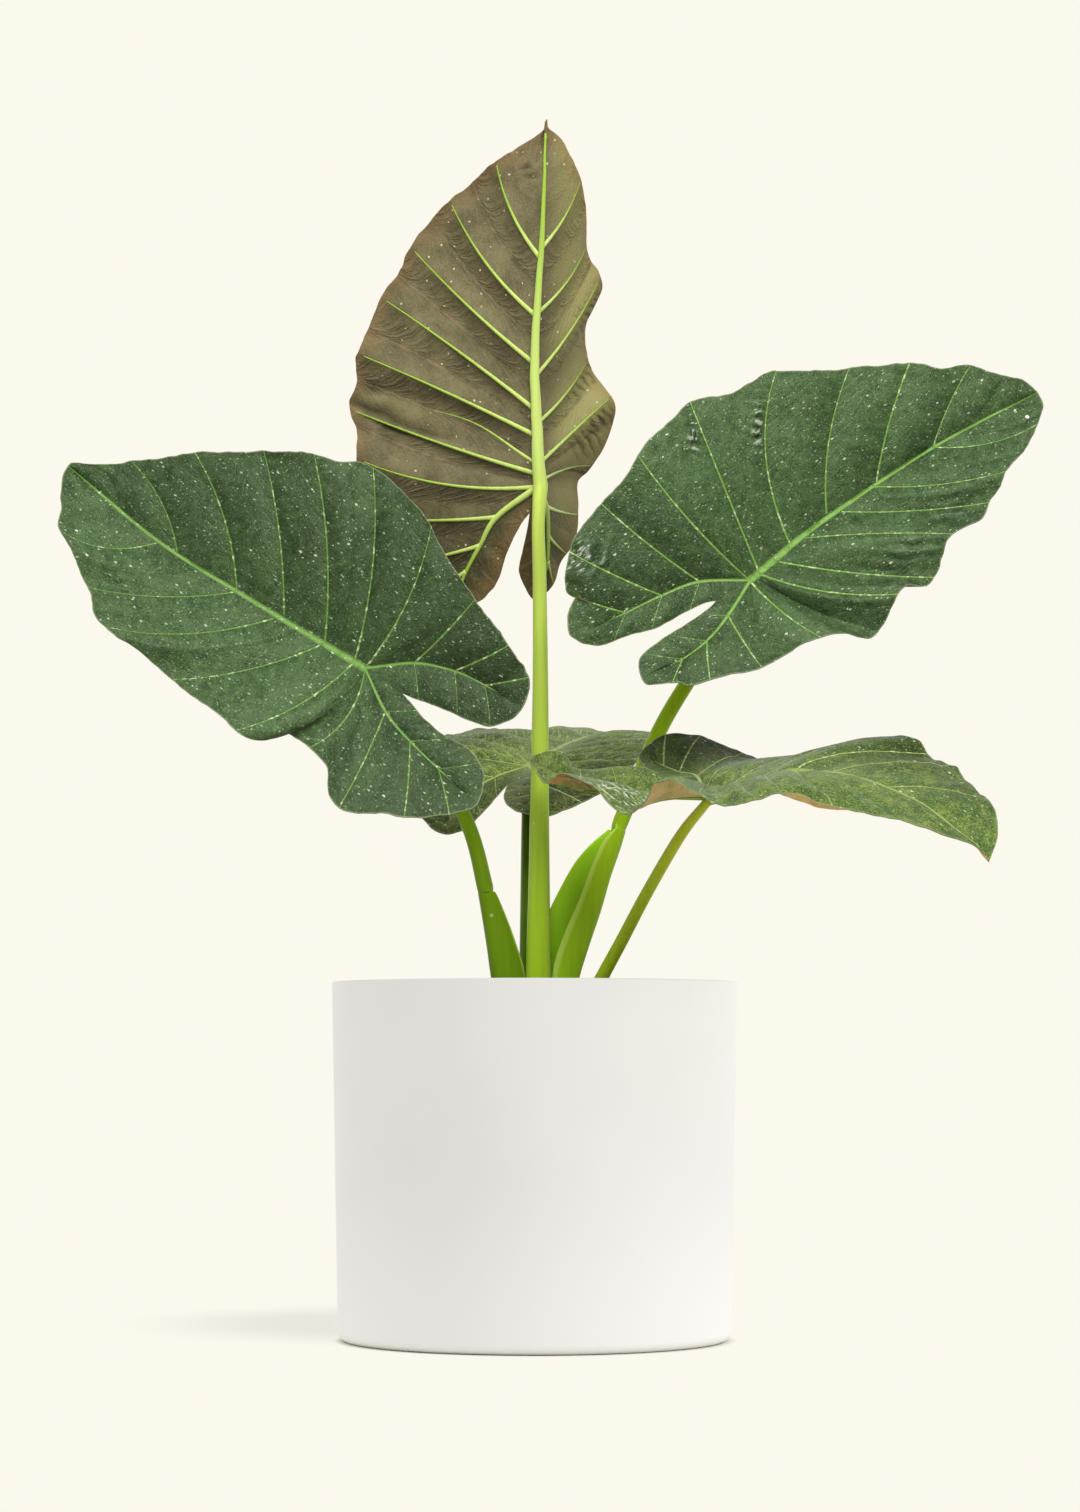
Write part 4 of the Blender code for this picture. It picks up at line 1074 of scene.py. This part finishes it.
def ring_of(radius, height):
    """Points of one ring of the mix. The height may be a function of x and y."""
    ring = []
    for k in range(SOIL_SIDES):
        x, y = (radius * way(math.tau * k / SOIL_SIDES) for way in (math.cos, math.sin))
        ring.append((x, y, height(x, y) if callable(height) else height))
    return ring


def make_soil(finish):
    """The mix's body with a rough top."""
    edge = pot_inner_radius(SOIL_LEVEL) - SOIL_GAP
    points = [(0.0, 0.0, soil_height(0.0, 0.0))]
    for r in range(1, SOIL_RINGS + 1):
        points += ring_of(edge * r / SOIL_RINGS, soil_height)
    points += ring_of(pot_inner_radius(POT_FLOOR) - SOIL_GAP, POT_FLOOR + SOIL_GAP)
    faces = [(0, 1 + k, 1 + (k + 1) % SOIL_SIDES) for k in range(SOIL_SIDES)]
    for r in range(SOIL_RINGS):
        for k in range(SOIL_SIDES):
            j = (k + 1) % SOIL_SIDES
            a, b = 1 + r * SOIL_SIDES, 1 + (r + 1) * SOIL_SIDES
            faces.append((a + k, b + k, b + j, a + j))
    faces.append(tuple(range(len(points) - SOIL_SIDES, len(points)))[::-1])
    mesh = mesh_from("soil_fine", points, faces)
    mesh.shade_smooth()
    return new_object("soil_fine", mesh, [finish])


def chip_shape(draw, kind):
    """One chip round the origin: its size, points and faces. Perlite is round, the others flat."""
    perlite = kind == PERLITE_KIND
    size = draw.uniform(*(PERLITE_SIZES if perlite else CHIP_SIZES))
    stretch = (1.0, 1.0, 0.9) if perlite else (draw.uniform(1.0, 2.0), draw.uniform(0.6, 1.0), 0.4)
    turn, tilt = draw.uniform(0, math.tau), draw.uniform(-CHIP_TILT, CHIP_TILT)
    shape = bmesh.new()
    bmesh.ops.create_icosphere(shape, subdivisions=1, radius=1.0)
    points = []
    for vert in shape.verts:
        a, b, c = vert.co * draw.uniform(0.75, 1.15) * size
        a, b, c = a * stretch[0], b * stretch[1], c * stretch[2]
        points.append((a * math.cos(turn) - b * math.sin(turn), a * math.sin(turn) + b * math.cos(turn),
                       c + a * tilt + CHIP_RISE * size))
    faces = [tuple(vert.index for vert in face.verts) for face in shape.faces]
    shape.free()
    return size, points, faces


def make_chips(finishes):
    """Bark, perlite and crumbs scattered on the mix, clear of the stalks."""
    draw = random.Random(CHIP_SEED)
    points, faces, slots = [], [], []
    stalks = [(data["stalk"][1][0], data["stalk"][1][1], data["stalk"][1][3]) for data in LEAVES.values()]
    edge = pot_inner_radius(SOIL_LEVEL) - CHIP_EDGE
    for _ in range(CHIP_COUNT):
        radius, angle = edge * math.sqrt(draw.random()), draw.uniform(0, math.tau)
        x, y = radius * math.cos(angle), radius * math.sin(angle)
        kind = draw.choices(CHIP_KINDS, CHIP_SHARES)[0]
        size, chip, chip_faces = chip_shape(draw, kind)
        if any(math.hypot(x - sx, y - sy) < sr + size + CHIP_CLEAR for sx, sy, sr in stalks):
            continue
        level = soil_height(x, y)
        faces += [tuple(len(points) + k for k in face) for face in chip_faces]
        slots += [kind] * len(chip_faces)
        points += [(x + a, y + b, level + c) for a, b, c in chip]
    mesh = mesh_from("soil_chips", points, faces)
    piece = new_object("soil_chips", mesh, finishes)
    mesh.polygons.foreach_set("material_index", slots)
    return piece


class Nodes:
    """A node tree under construction. Each call adds a node or a few and gives back an output."""

    def __init__(self, tree):
        self.tree = tree

    def put(self, socket, value):
        if isinstance(value, bpy.types.NodeSocket):
            self.tree.links.new(value, socket)
        elif isinstance(value, tuple) and len(value) == 3 and socket.type == "RGBA":
            socket.default_value = (*value, 1.0)
        else:
            socket.default_value = value

    def add(self, kind, output=0, inputs=None, **settings):
        node = self.tree.nodes.new(kind)
        for name, value in settings.items():
            setattr(node, name, value)
        for key, value in (inputs or {}).items():
            self.put(node.inputs[key], value)
        return node.outputs[output]

    def attribute(self, name, output="Fac"):
        return self.add("ShaderNodeAttribute", output, attribute_type="GEOMETRY", attribute_name=name)

    def place(self):
        return self.attribute("place", "Vector")

    def spot(self):
        return self.add("ShaderNodeTexCoord", "Object")

    def part(self, vector, axis):
        """One number of a vector: 0 for x, 1 for y and 2 for z."""
        return self.add("ShaderNodeSeparateXYZ", axis, {0: vector})

    def distance(self, first, second):
        return self.add("ShaderNodeVectorMath", 1, {0: first, 1: second}, operation="DISTANCE")

    def drawn(self, vector, scale, turn=0.0):
        """The vector turned and stretched, so that what follows it is drawn out one way."""
        return self.add("ShaderNodeMapping", 0, {
            "Vector": vector, "Rotation": (0.0, 0.0, turn), "Scale": scale})

    def noise(self, vector, scale, detail=3.0, roughness=0.55):
        return self.add("ShaderNodeTexNoise", "Fac", {
            "Vector": vector, "Scale": scale, "Detail": detail, "Roughness": roughness})

    def math(self, operation, first, second=0.0):
        return self.add("ShaderNodeMath", 0, {0: first, 1: second}, operation=operation)

    def times(self, first, second):
        return self.math("MULTIPLY", first, second)

    def plus(self, first, second):
        return self.math("ADD", first, second)

    def minus(self, first, second):
        return self.math("SUBTRACT", first, second)

    def smooth(self, value, low, high, start=0.0, stop=1.0):
        """start up to low, stop from high on, and a smooth step between them."""
        return self.add("ShaderNodeMapRange", 0, {0: value, 1: low, 2: high, 3: start, 4: stop},
                        interpolation_type="SMOOTHSTEP")

    def mix(self, share, first, second, kind="MIX"):
        return self.add("ShaderNodeMix", 2, {0: share, 6: first, 7: second}, data_type="RGBA",
                        blend_type=kind)

    def tint(self, share, base, colour):
        """The base multiplied by a colour, as far as the share says."""
        return self.mix(share, base, self.mix(1.0, base, colour, "MULTIPLY"))

    def wave(self, value):
        """A sawtooth ridge: 0 midway between whole numbers and 0.5 at each of them."""
        return self.math("ABSOLUTE", self.minus(self.math("FRACT", value), 0.5))

    def shifted(self, vector, scale, amount):
        """The vector moved about by noise, so that what follows it isn't regular."""
        moved = self.add("ShaderNodeTexNoise", "Color", {"Vector": vector, "Scale": scale, "Detail": 2.0})
        moved = self.add("ShaderNodeVectorMath", 0, {0: moved, 1: (0.5, 0.5, 0.5)}, operation="SUBTRACT")
        scaled = self.add("ShaderNodeVectorMath", 0, {0: moved, "Scale": amount}, operation="SCALE")
        return self.add("ShaderNodeVectorMath", 0, {0: vector, 1: scaled}, operation="ADD")

    def specks(self, vector, scale, kept, size, edge=0.04, flat=False):
        """Scattered specks: the kept share of the cells has one each, up to the size given in cells."""
        cells = self.tree.nodes.new("ShaderNodeTexVoronoi")
        cells.voronoi_dimensions = "2D" if flat else "3D"
        self.put(cells.inputs["Vector"], vector)
        self.put(cells.inputs["Scale"], scale)
        pick = self.add("ShaderNodeSeparateColor", 0, {0: cells.outputs["Color"]})
        radius = self.smooth(pick, 1.0 - kept, 1.0, 0.35 * size, size)
        within = self.smooth(self.minus(radius, cells.outputs["Distance"]), -edge / 2, edge / 2)
        return self.times(within, self.math("GREATER_THAN", pick, 1.0 - kept))


class Finish(Nodes):
    """A material under construction, with a principled shader."""

    def __init__(self, name, roughness, specular=0.5, tint=(1.0, 1.0, 1.0)):
        self.material = bpy.data.materials.new(name)
        self.material.use_nodes = True
        super().__init__(self.material.node_tree)
        self.shader = self.tree.nodes["Principled BSDF"]
        self.shader.inputs["Roughness"].default_value = roughness
        self.shader.inputs["Specular IOR Level"].default_value = specular
        self.shader.inputs["Specular Tint"].default_value = (*tint, 1.0)

    def bump(self, height, strength, distance):
        normal = self.add("ShaderNodeBump", 0, {
            "Height": height, "Strength": strength, "Distance": distance})
        self.put(self.shader.inputs["Normal"], normal)

    def colour(self, value):
        self.put(self.shader.inputs["Base Color"], value)

    def rough(self, value):
        self.put(self.shader.inputs["Roughness"], value)


def toned(colour, factors):
    return tuple(channel * factor for channel, factor in zip(colour, factors))


def vein_mask(finish, name, low, high):
    return finish.smooth(finish.attribute(name), low, high, 1.0, 0.0)


def feathered(finish, place, wander, low):
    """The fine veins that leave a rib and sweep out towards the margin, strong here and faint there."""
    wobble = finish.times(finish.noise(place, 0.8, 3.0), wander)
    phase = finish.plus(finish.attribute("feather"), wobble)
    fine = finish.smooth(finish.wave(phase), low, 0.5)
    coarse = finish.smooth(finish.wave(finish.times(phase, 0.37)), low, 0.5)
    both = finish.math("MAXIMUM", finish.times(fine, 0.7), coarse)
    return finish.times(both, finish.smooth(finish.noise(place, 0.7, 2.0), 0.38, 0.62, 0.15, 1.0))


def upper_veins(finish, place, base, side, vein):
    """Pale veins with bright spots on the side veins and a lighter core along the main ones."""
    main = vein_mask(finish, "main_vein", 0.75, 1.10)
    core = vein_mask(finish, "main_vein", 0.10, 0.70)
    glint = finish.smooth(finish.noise(place, 2.6, 2.0), 0.54, 0.66, 0.0, 0.85)
    base = finish.mix(finish.times(side, 0.95), base, finish.mix(glint, vein, (0.42, 0.50, 0.26)))
    base = finish.mix(finish.times(main, 0.9), base, vein)
    return finish.mix(finish.times(core, 0.4), base, (0.20, 0.36, 0.08))


def pleat_shade_and_highlight(finish, base):
    """Pleats and puckers: painted shade in the valleys and painted highlights on the crests."""
    pleat = finish.attribute("pleat")
    base = finish.tint(finish.smooth(pleat, -1.0, -0.15, 0.72, 0.0), base, (0.42, 0.47, 0.48))
    return finish.mix(finish.smooth(pleat, 0.5, 1.4, 0.0, 0.45), base, (0.42, 0.48, 0.40))


def painted_highlight_strokes(finish, place, middle, reach):
    """A patch of painted highlight: pale, glossy-looking strokes where the blade bends over."""
    strokes = finish.noise(finish.drawn(place, (0.9, 3.6, 0.9)), 1.6, 3.0, 0.6)
    within = finish.smooth(finish.distance(place, middle), 0.3 * reach, reach, 0.75, 0.0)
    return finish.times(finish.smooth(strokes, 0.52, 0.68), within)


def upper_specks(finish, place, base):
    """Small dull specks all over, and longer pale ones that lie three ways and crowd here and there."""
    ragged = finish.shifted(place, 6.0, 0.16)
    small = finish.specks(ragged, 3.2, 0.35, 0.18, 0.08, flat=True)
    base = finish.mix(finish.times(small, 0.5), base, (0.20, 0.24, 0.12))
    crowd = finish.smooth(finish.noise(place, 0.45, 2.0), 0.40, 0.62, 0.45, 0.95)
    whiter = finish.smooth(finish.noise(place, 1.7, 1.0), 0.40, 0.65)
    pale = finish.mix(whiter, (0.22, 0.30, 0.20), (0.46, 0.50, 0.36))
    for turn, scale, kept, size in LONG_SPECKS:
        cells = finish.drawn(ragged, LONG_SPECK_STRETCH, turn)
        longer = finish.specks(cells, scale, kept, size, 0.06, flat=True)
        base = finish.mix(finish.times(longer, crowd), base, pale)
    return base


def blade_upper(name, dark, light, vein, specular, streaks=0.12, far_side_painted_shading=1.0, falls=(-2.0, 9.0),
                lobes=1.0, tones=(0.74, 1.30), painted_highlights=()):
    """The upper face: grainy green with veins, painted pleat shade and highlights, painted highlight
    strokes, a pale edge and specks.

    The numbers past the vein colour are the gloss, the share of fine veins, the painted light and shade
    of the far side and where it starts, how light the lobes are, the range of tones, and painted highlights.
    """
    finish = Finish(name, 0.36, specular, (0.80, 1.0, 0.60))
    place = finish.place()
    broad = finish.noise(place, 0.28, 2.0)
    middle = finish.noise(place, 1.3, 3.0)
    grain = finish.noise(place, 8.0, 3.0, 0.75)
    feather = feathered(finish, place, 2.4, 0.30)
    tone = finish.plus(finish.times(broad, 0.3), finish.times(middle, 0.5))
    tone = finish.plus(tone, finish.times(grain, 1.2))
    tone = finish.plus(tone, finish.times(feather, streaks))
    base = finish.mix(finish.smooth(tone, *tones), dark, light)
    teal = finish.smooth(finish.noise(place, 5.0, 2.0), 0.45, 0.70, 0.0, 0.35)
    base = finish.tint(teal, base, (0.60, 1.05, 1.15))
    wander = finish.times(broad, 4.0)
    # Painted light and shade: the far half is multiplied by its factor, lighter above one, darker below one
    falling = finish.smooth(finish.plus(finish.part(place, 1), wander), *falls)
    base = finish.tint(falling, base, (far_side_painted_shading,) * 3)
    behind = finish.smooth(finish.plus(finish.part(place, 0), wander), -3.0, 2.0, 1.0, 0.0)
    base = finish.tint(behind, base, (lobes,) * 3)
    side = vein_mask(finish, "side_vein", 0.60, 1.15)
    base = upper_veins(finish, place, base, side, vein)
    base = pleat_shade_and_highlight(finish, base)
    # Painted highlights: pale strokes where the blade bends over
    for highlight_middle, reach in painted_highlights:
        base = finish.mix(painted_highlight_strokes(finish, place, highlight_middle, reach), base, (0.58, 0.62, 0.52))
    edge = finish.smooth(finish.attribute("to_margin"), 0.4, 1.3, 0.45, 0.0)
    base = finish.mix(edge, base, (0.24, 0.26, 0.15))
    finish.colour(upper_specks(finish, place, base))
    finish.rough(finish.smooth(middle, 0.3, 0.7, 0.28, 0.44))
    height = finish.minus(finish.plus(middle, finish.times(grain, 0.4)), finish.times(feather, 0.2))
    finish.bump(finish.minus(height, finish.times(side, 0.8)), 0.8, 0.0012)
    return finish.material


def blade_under(name, dark, light, lit_side_share):
    """The underside: arched wrinkles, pleats with painted shade and highlights, painted shade below the
    ribs, a side with painted light, reddish veins, pale specks and a reddish margin.
    """
    finish = Finish(name, 0.60, 0.05, (1.0, 0.95, 0.70))
    place = finish.place()
    broad = finish.noise(place, 0.5, 3.0)
    grain = finish.noise(place, 6.0, 3.0, 0.65)
    tone = finish.plus(finish.times(broad, 0.7), finish.times(grain, 0.5))
    base = finish.mix(finish.smooth(tone, 0.35, 0.85), dark, light)
    # Painted light: the half turned towards the light is lighter and yellower
    painted_lit_side = finish.smooth(finish.plus(finish.part(place, 1), broad), -1.9, 0.9, lit_side_share, 0.0)
    base = finish.mix(painted_lit_side, base, (0.245, 0.228, 0.086))
    lobes = finish.smooth(finish.plus(finish.part(place, 0), broad), -4.5, 2.5, 1.0, 0.0)
    base = finish.tint(lobes, base, (0.47, 0.49, 0.42))
    rib_side = finish.attribute("below_rib")
    feather = feathered(finish, place, 1.8, 0.22)
    feather = finish.times(feather, finish.smooth(rib_side, 0.45, 0.60, 1.0, 0.35))
    base = finish.mix(finish.times(feather, 0.50), base, toned(light, (1.15, 1.05, 1.15)))
    # Painted shade: each panel is darker next to the rib above it
    base = finish.tint(finish.smooth(rib_side, 0.25, 0.60, 0.8, 0.0), base, (0.66, 0.66, 0.64))
    # Painted shade in the pleat valleys and painted highlights on their crests
    pleat = finish.attribute("pleat")
    base = finish.tint(finish.smooth(pleat, 0.10, 1.0, 0.0, 0.65), base, (0.40, 0.42, 0.36))
    crest_highlight = finish.smooth(pleat, -1.2, -0.2, 0.30, 0.0)
    base = finish.mix(crest_highlight, base, toned(light, (1.35, 1.35, 1.15)))
    middle = finish.smooth(finish.attribute("middle"), 0.3, 1.7, 0.6, 0.0)
    middle = finish.times(middle, finish.smooth(finish.attribute("out"), 0.25, 0.55))
    base = finish.mix(middle, base, toned(light, (1.35, 1.02, 1.15)))
    margin = finish.plus(finish.attribute("to_margin"), finish.times(broad, -26.0))
    margin = finish.smooth(margin, -12.0, 4.0, 0.32, 0.0)
    base = finish.mix(margin, base, toned(light, (1.15, 0.72, 0.55)))
    speck = finish.specks(finish.shifted(place, 6.0, 0.16), 1.1, 0.20, 0.08, 0.05, flat=True)
    finish.colour(finish.mix(finish.times(speck, 0.8), base, (0.50, 0.46, 0.28)))
    finish.bump(finish.plus(finish.times(grain, 0.4), finish.times(feather, 0.5)), 1.0, 0.0016)
    return finish.material


def stalk_finish(name, low, high, rib):
    """Fleshy green that changes up the stalk and out along the ribs, with streaks and specks."""
    finish = Finish(name, 0.36, 0.16, (0.85, 1.0, 0.25))
    spot = finish.spot()
    rise = finish.attribute("rise")
    base = finish.mix(finish.smooth(rise, 0.1, 1.0), low, high)
    base = finish.mix(finish.smooth(rise, 0.95, 1.1), base, rib)
    base = finish.mix(finish.smooth(rise, 1.25, 1.9), base, toned(rib, (0.54, 0.68, 0.28)))
    streak = finish.noise(finish.drawn(spot, (260.0, 260.0, 9.0)), 1.0, 3.0)
    base = finish.tint(finish.smooth(streak, 0.35, 0.75, 0.0, 0.6), base, (0.72, 0.80, 0.72))
    # Painted light: the sheath's inside is brightened, for light that shines through it
    inside = finish.times(finish.attribute("sheath_inside"), 0.85)
    base = finish.mix(inside, base, (0.30, 0.56, 0.020))
    edge = finish.smooth(finish.attribute("sheath_edge"), 0.5, 1.0, 0.0, 0.6)
    base = finish.mix(edge, base, (0.42, 0.56, 0.12))
    speck = finish.times(finish.specks(spot, 95.0, 0.30, 0.14), 0.5)
    finish.colour(finish.mix(speck, base, (0.40, 0.45, 0.22)))
    finish.bump(streak, 0.25, 0.0004)
    return finish.material


def pot_finish():
    """Matte white with a very fine even grain, and painted light from the floor making it a little paler
    towards the foot.
    """
    finish = Finish("pot_matte_white", 0.62, 0.35)
    spot = finish.spot()
    broad = finish.smooth(finish.noise(spot, 9.0, 3.0), 0.3, 0.7)
    grain = finish.noise(spot, 900.0, 2.0)
    base = finish.mix(broad, (0.775, 0.772, 0.758), (0.795, 0.792, 0.778))
    # Painted light: paler towards the foot, where light bounces up from the floor
    foot = finish.smooth(finish.part(spot, 2), 0.0, 0.13, 0.8, 0.0)
    finish.colour(finish.mix(foot, base, (0.860, 0.857, 0.845)))
    finish.rough(finish.smooth(grain, 0.2, 0.8, 0.55, 0.70))
    finish.bump(grain, 0.12, 0.0003)
    return finish.material


def earth_finish(name, dark, light, scale, roughness):
    """Rough and grainy, for the mix, its chips and the corm."""
    finish = Finish(name, roughness, 0.25)
    grain = finish.noise(finish.spot(), scale, 5.0, 0.7)
    finish.colour(finish.mix(finish.smooth(grain, 0.35, 0.7), dark, light))
    finish.bump(grain, 0.8, 0.0012)
    return finish.material


def floor_finish():
    """The backdrop's own colour, mixed with shadow-catching paint by the pot's left and under its foot."""
    finish = Finish("pale_floor", 1.0)
    finish.tree.nodes.remove(finish.shader)
    spot = finish.spot()
    beside = finish.distance(spot, SHADOW_MIDDLE)
    beside = finish.smooth(beside, SHADOW_FULL, SHADOW_GONE, SHADOW_SHARE, 0.0)
    under = finish.smooth(finish.distance(spot, (0.0, 0.0, 0.0)), CONTACT_FULL, CONTACT_GONE, 1.0, 0.0)
    share = finish.math("MAXIMUM", beside, under)
    glow = finish.add("ShaderNodeEmission", 0, {"Color": BACKDROP})
    paint = finish.add("ShaderNodeBsdfDiffuse", 0, {"Color": FLOOR_PAINT})
    blend = finish.add("ShaderNodeMixShader", 0, {0: share, 1: glow, 2: paint})
    out = next(node for node in finish.tree.nodes if node.type == "OUTPUT_MATERIAL")
    finish.put(out.inputs["Surface"], blend)
    return finish.material


def make_stage():
    """A pale floor that runs into the same pale distance on all sides."""
    shape = bmesh.new()
    bmesh.ops.create_circle(shape, cap_ends=True, segments=FLOOR_SIDES, radius=FLOOR_RADIUS)
    mesh = bpy.data.meshes.new("floor")
    shape.to_mesh(mesh)
    shape.free()
    floor = new_object("floor", mesh, [floor_finish()])
    floor.location.z = -FLOOR_DROP
    return floor


def make_world():
    """Soft light from all sides, a little stronger from behind. The camera sees the backdrop."""
    world = bpy.data.worlds.new("studio")
    world.use_nodes = True
    world.node_tree.nodes.clear()
    nodes = Nodes(world.node_tree)
    way = nodes.add("ShaderNodeTexCoord", "Generated")
    level = nodes.plus(nodes.times(nodes.part(way, 1), FILL_SLOPE), FILL_LEVEL)
    fill = nodes.add("ShaderNodeBackground", 0, {"Color": FILL_TINT, "Strength": level})
    seen = nodes.add("ShaderNodeBackground", 0, {"Color": BACKDROP})
    camera_ray = nodes.add("ShaderNodeLightPath", "Is Camera Ray")
    blend = nodes.add("ShaderNodeMixShader", 0, {0: camera_ray, 1: fill, 2: seen})
    out = world.node_tree.nodes.new("ShaderNodeOutputWorld")
    nodes.put(out.inputs["Surface"], blend)
    bpy.context.scene.world = world


def make_group(name, pieces):
    """A collection of the pieces that a light falls on, or is shaded by."""
    group = bpy.data.collections.new(name)
    for piece in pieces:
        group.objects.link(piece)
    return group


def make_light(name, setup, lit, shading):
    """A soft round light that falls on the given pieces only, shaded by the second group."""
    data = bpy.data.lights.new(name, "AREA")
    data.shape = "DISK"
    data.size = setup["size"]
    data.energy = setup["watts"]
    light = bpy.data.objects.new(name, data)
    way = Vector(setup["way"]).normalized()
    light.location = Vector(LIGHT_TARGET) + way * LIGHT_DISTANCE
    light.rotation_euler = (-way).to_track_quat("-Z", "Y").to_euler()
    light.visible_camera = False
    light.light_linking.receiver_collection = make_group(name + "_falls_on", lit)
    light.light_linking.blocker_collection = make_group(name + "_shaded_by", shading)
    bpy.context.scene.collection.objects.link(light)


def make_camera():
    """The camera at the photograph's place, a little tilted up."""
    data = bpy.data.cameras.new("camera")
    data.sensor_width = SENSOR
    data.sensor_fit = "AUTO"
    data.lens = FOCAL_PX * SENSOR / FRAME_HEIGHT_PX
    camera = bpy.data.objects.new("camera", data)
    camera.location = Vector(CAMERA_PLACE) * MM
    camera.rotation_euler = (math.pi / 2 + CAMERA_PITCH, 0.0, 0.0)
    bpy.context.scene.collection.objects.link(camera)
    bpy.context.scene.camera = camera


def add_piece(piece, node=None):
    """Tells the frame what a finished piece rides on and stands for."""
    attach(piece, "root")
    if node:
        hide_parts(node)
    return piece


DARK = (0.010, 0.022, 0.006)
GREEN = (0.058, 0.096, 0.034)
VEIN_GREEN = (0.115, 0.225, 0.038)
RIB_GREEN = (0.200, 0.320, 0.040)
BROWN_UNDER = blade_under("blade_under_brown", (0.070, 0.062, 0.031), (0.150, 0.132, 0.068), 0.75)
# Painted light: the low leaf's underside is a paler copy, for light shining through the blade and up from
# the floor
PALE_UNDER_PAINTED_LIGHT = blade_under("blade_under_pale_painted_light", (0.330, 0.265, 0.100), (0.560, 0.450, 0.185), 0.0)
UPPERS = {
    "tall_leaf": blade_upper("blade_upper_tall", DARK, GREEN, VEIN_GREEN, 0.20),
    "left_leaf": blade_upper("blade_upper_left", DARK, GREEN, (0.084, 0.170, 0.033), 0.20, far_side_painted_shading=0.70,
                             lobes=0.72),
    "right_leaf": blade_upper("blade_upper_right", DARK, GREEN, VEIN_GREEN, 0.20, far_side_painted_shading=0.97, lobes=0.82,
                              painted_highlights=[((-9.6, -8.4, 2.5), 1.9)]),
    # Painted light: the low and back leaves' upper faces are paler copies, for light on their upturned tops
    "low_leaf": blade_upper("blade_upper_low_painted_light", (0.016, 0.030, 0.008), (0.088, 0.108, 0.026),
                            (0.200, 0.235, 0.066), 0.03, streaks=0.14, far_side_painted_shading=2.1, falls=(-6.5, 2.0),
                            lobes=0.85, tones=(0.84, 1.34), painted_highlights=[((-2.5, 7.2, 1.5), 4.0)]),
    "back_leaf": blade_upper("blade_upper_back_painted_light", (0.036, 0.066, 0.014), (0.285, 0.350, 0.092),
                             (0.280, 0.330, 0.088), 0.02, streaks=0.30, far_side_painted_shading=0.66,
                             falls=(-1.0, 5.0), lobes=0.55, tones=(0.84, 1.34)),
}
UNDERS = {**dict.fromkeys(LEAVES, BROWN_UNDER), "low_leaf": PALE_UNDER_PAINTED_LIGHT}
# Painted shade: the left and back stalks are darker copies, where they stand in the leaves' shade
STALKS = {
    "tall_leaf": stalk_finish("stalk_lime", (0.220, 0.370, 0.006), (0.370, 0.450, 0.085),
                              (0.400, 0.490, 0.130)),
    "left_leaf": stalk_finish("stalk_green_left_shaded", (0.100, 0.190, 0.004), (0.130, 0.220, 0.006), RIB_GREEN),
    "right_leaf": stalk_finish("stalk_green_right", (0.245, 0.420, 0.010), (0.215, 0.330, 0.008), RIB_GREEN),
    "low_leaf": stalk_finish("stalk_olive", (0.290, 0.470, 0.010), (0.390, 0.440, 0.028), RIB_GREEN),
    "back_leaf": stalk_finish("stalk_shade", (0.055, 0.105, 0.003), (0.070, 0.130, 0.004), RIB_GREEN),
}

# The rim takes the underside's material, slot 1, where the underside faces the camera
plant = []
for leaf_name, leaf_data in LEAVES.items():
    leaf_shape = Leaf(leaf_data)
    rim = 1 if leaf_name == "tall_leaf" else 0
    blade_piece = make_blade(leaf_name + "_blade_fine", leaf_shape, UPPERS[leaf_name],
                             UNDERS[leaf_name], rim)
    stalk_piece = make_stalk(leaf_name + "_stalk_fine", leaf_shape, STALKS[leaf_name])
    plant.append(add_piece(blade_piece, leaf_name + "_blade"))
    plant.append(add_piece(stalk_piece, leaf_name + "_stalk"))

MIX = earth_finish("mix_dark", (0.012, 0.008, 0.005), (0.060, 0.038, 0.022), 160.0, 0.9)
BARK = earth_finish("mix_bark", (0.050, 0.026, 0.013), (0.150, 0.080, 0.040), 220.0, 0.8)
PERLITE = earth_finish("mix_perlite", (0.500, 0.490, 0.460), (0.760, 0.750, 0.720), 300.0, 0.8)
CRUMB = earth_finish("mix_crumb", (0.015, 0.010, 0.006), (0.050, 0.030, 0.018), 260.0, 0.9)
CORM = earth_finish("corm_skin", (0.090, 0.050, 0.026), (0.240, 0.150, 0.085), 90.0, 0.8)
pot_piece = add_piece(make_pot(pot_finish()), "pot")
mix_pieces = [add_piece(make_soil(MIX), "soil"),
              add_piece(make_chips([BARK, PERLITE, CRUMB]))]
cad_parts["corm"].data.materials.clear()
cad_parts["corm"].data.materials.append(CORM)

floor_piece = make_stage()
make_world()
ground = [pot_piece, floor_piece] + mix_pieces
make_light("leaf_light", LEAF_LIGHT, plant, plant + ground)
make_light("pot_light", POT_LIGHT, ground, ground)
make_camera()
bpy.context.scene.view_settings.view_transform = "Standard"
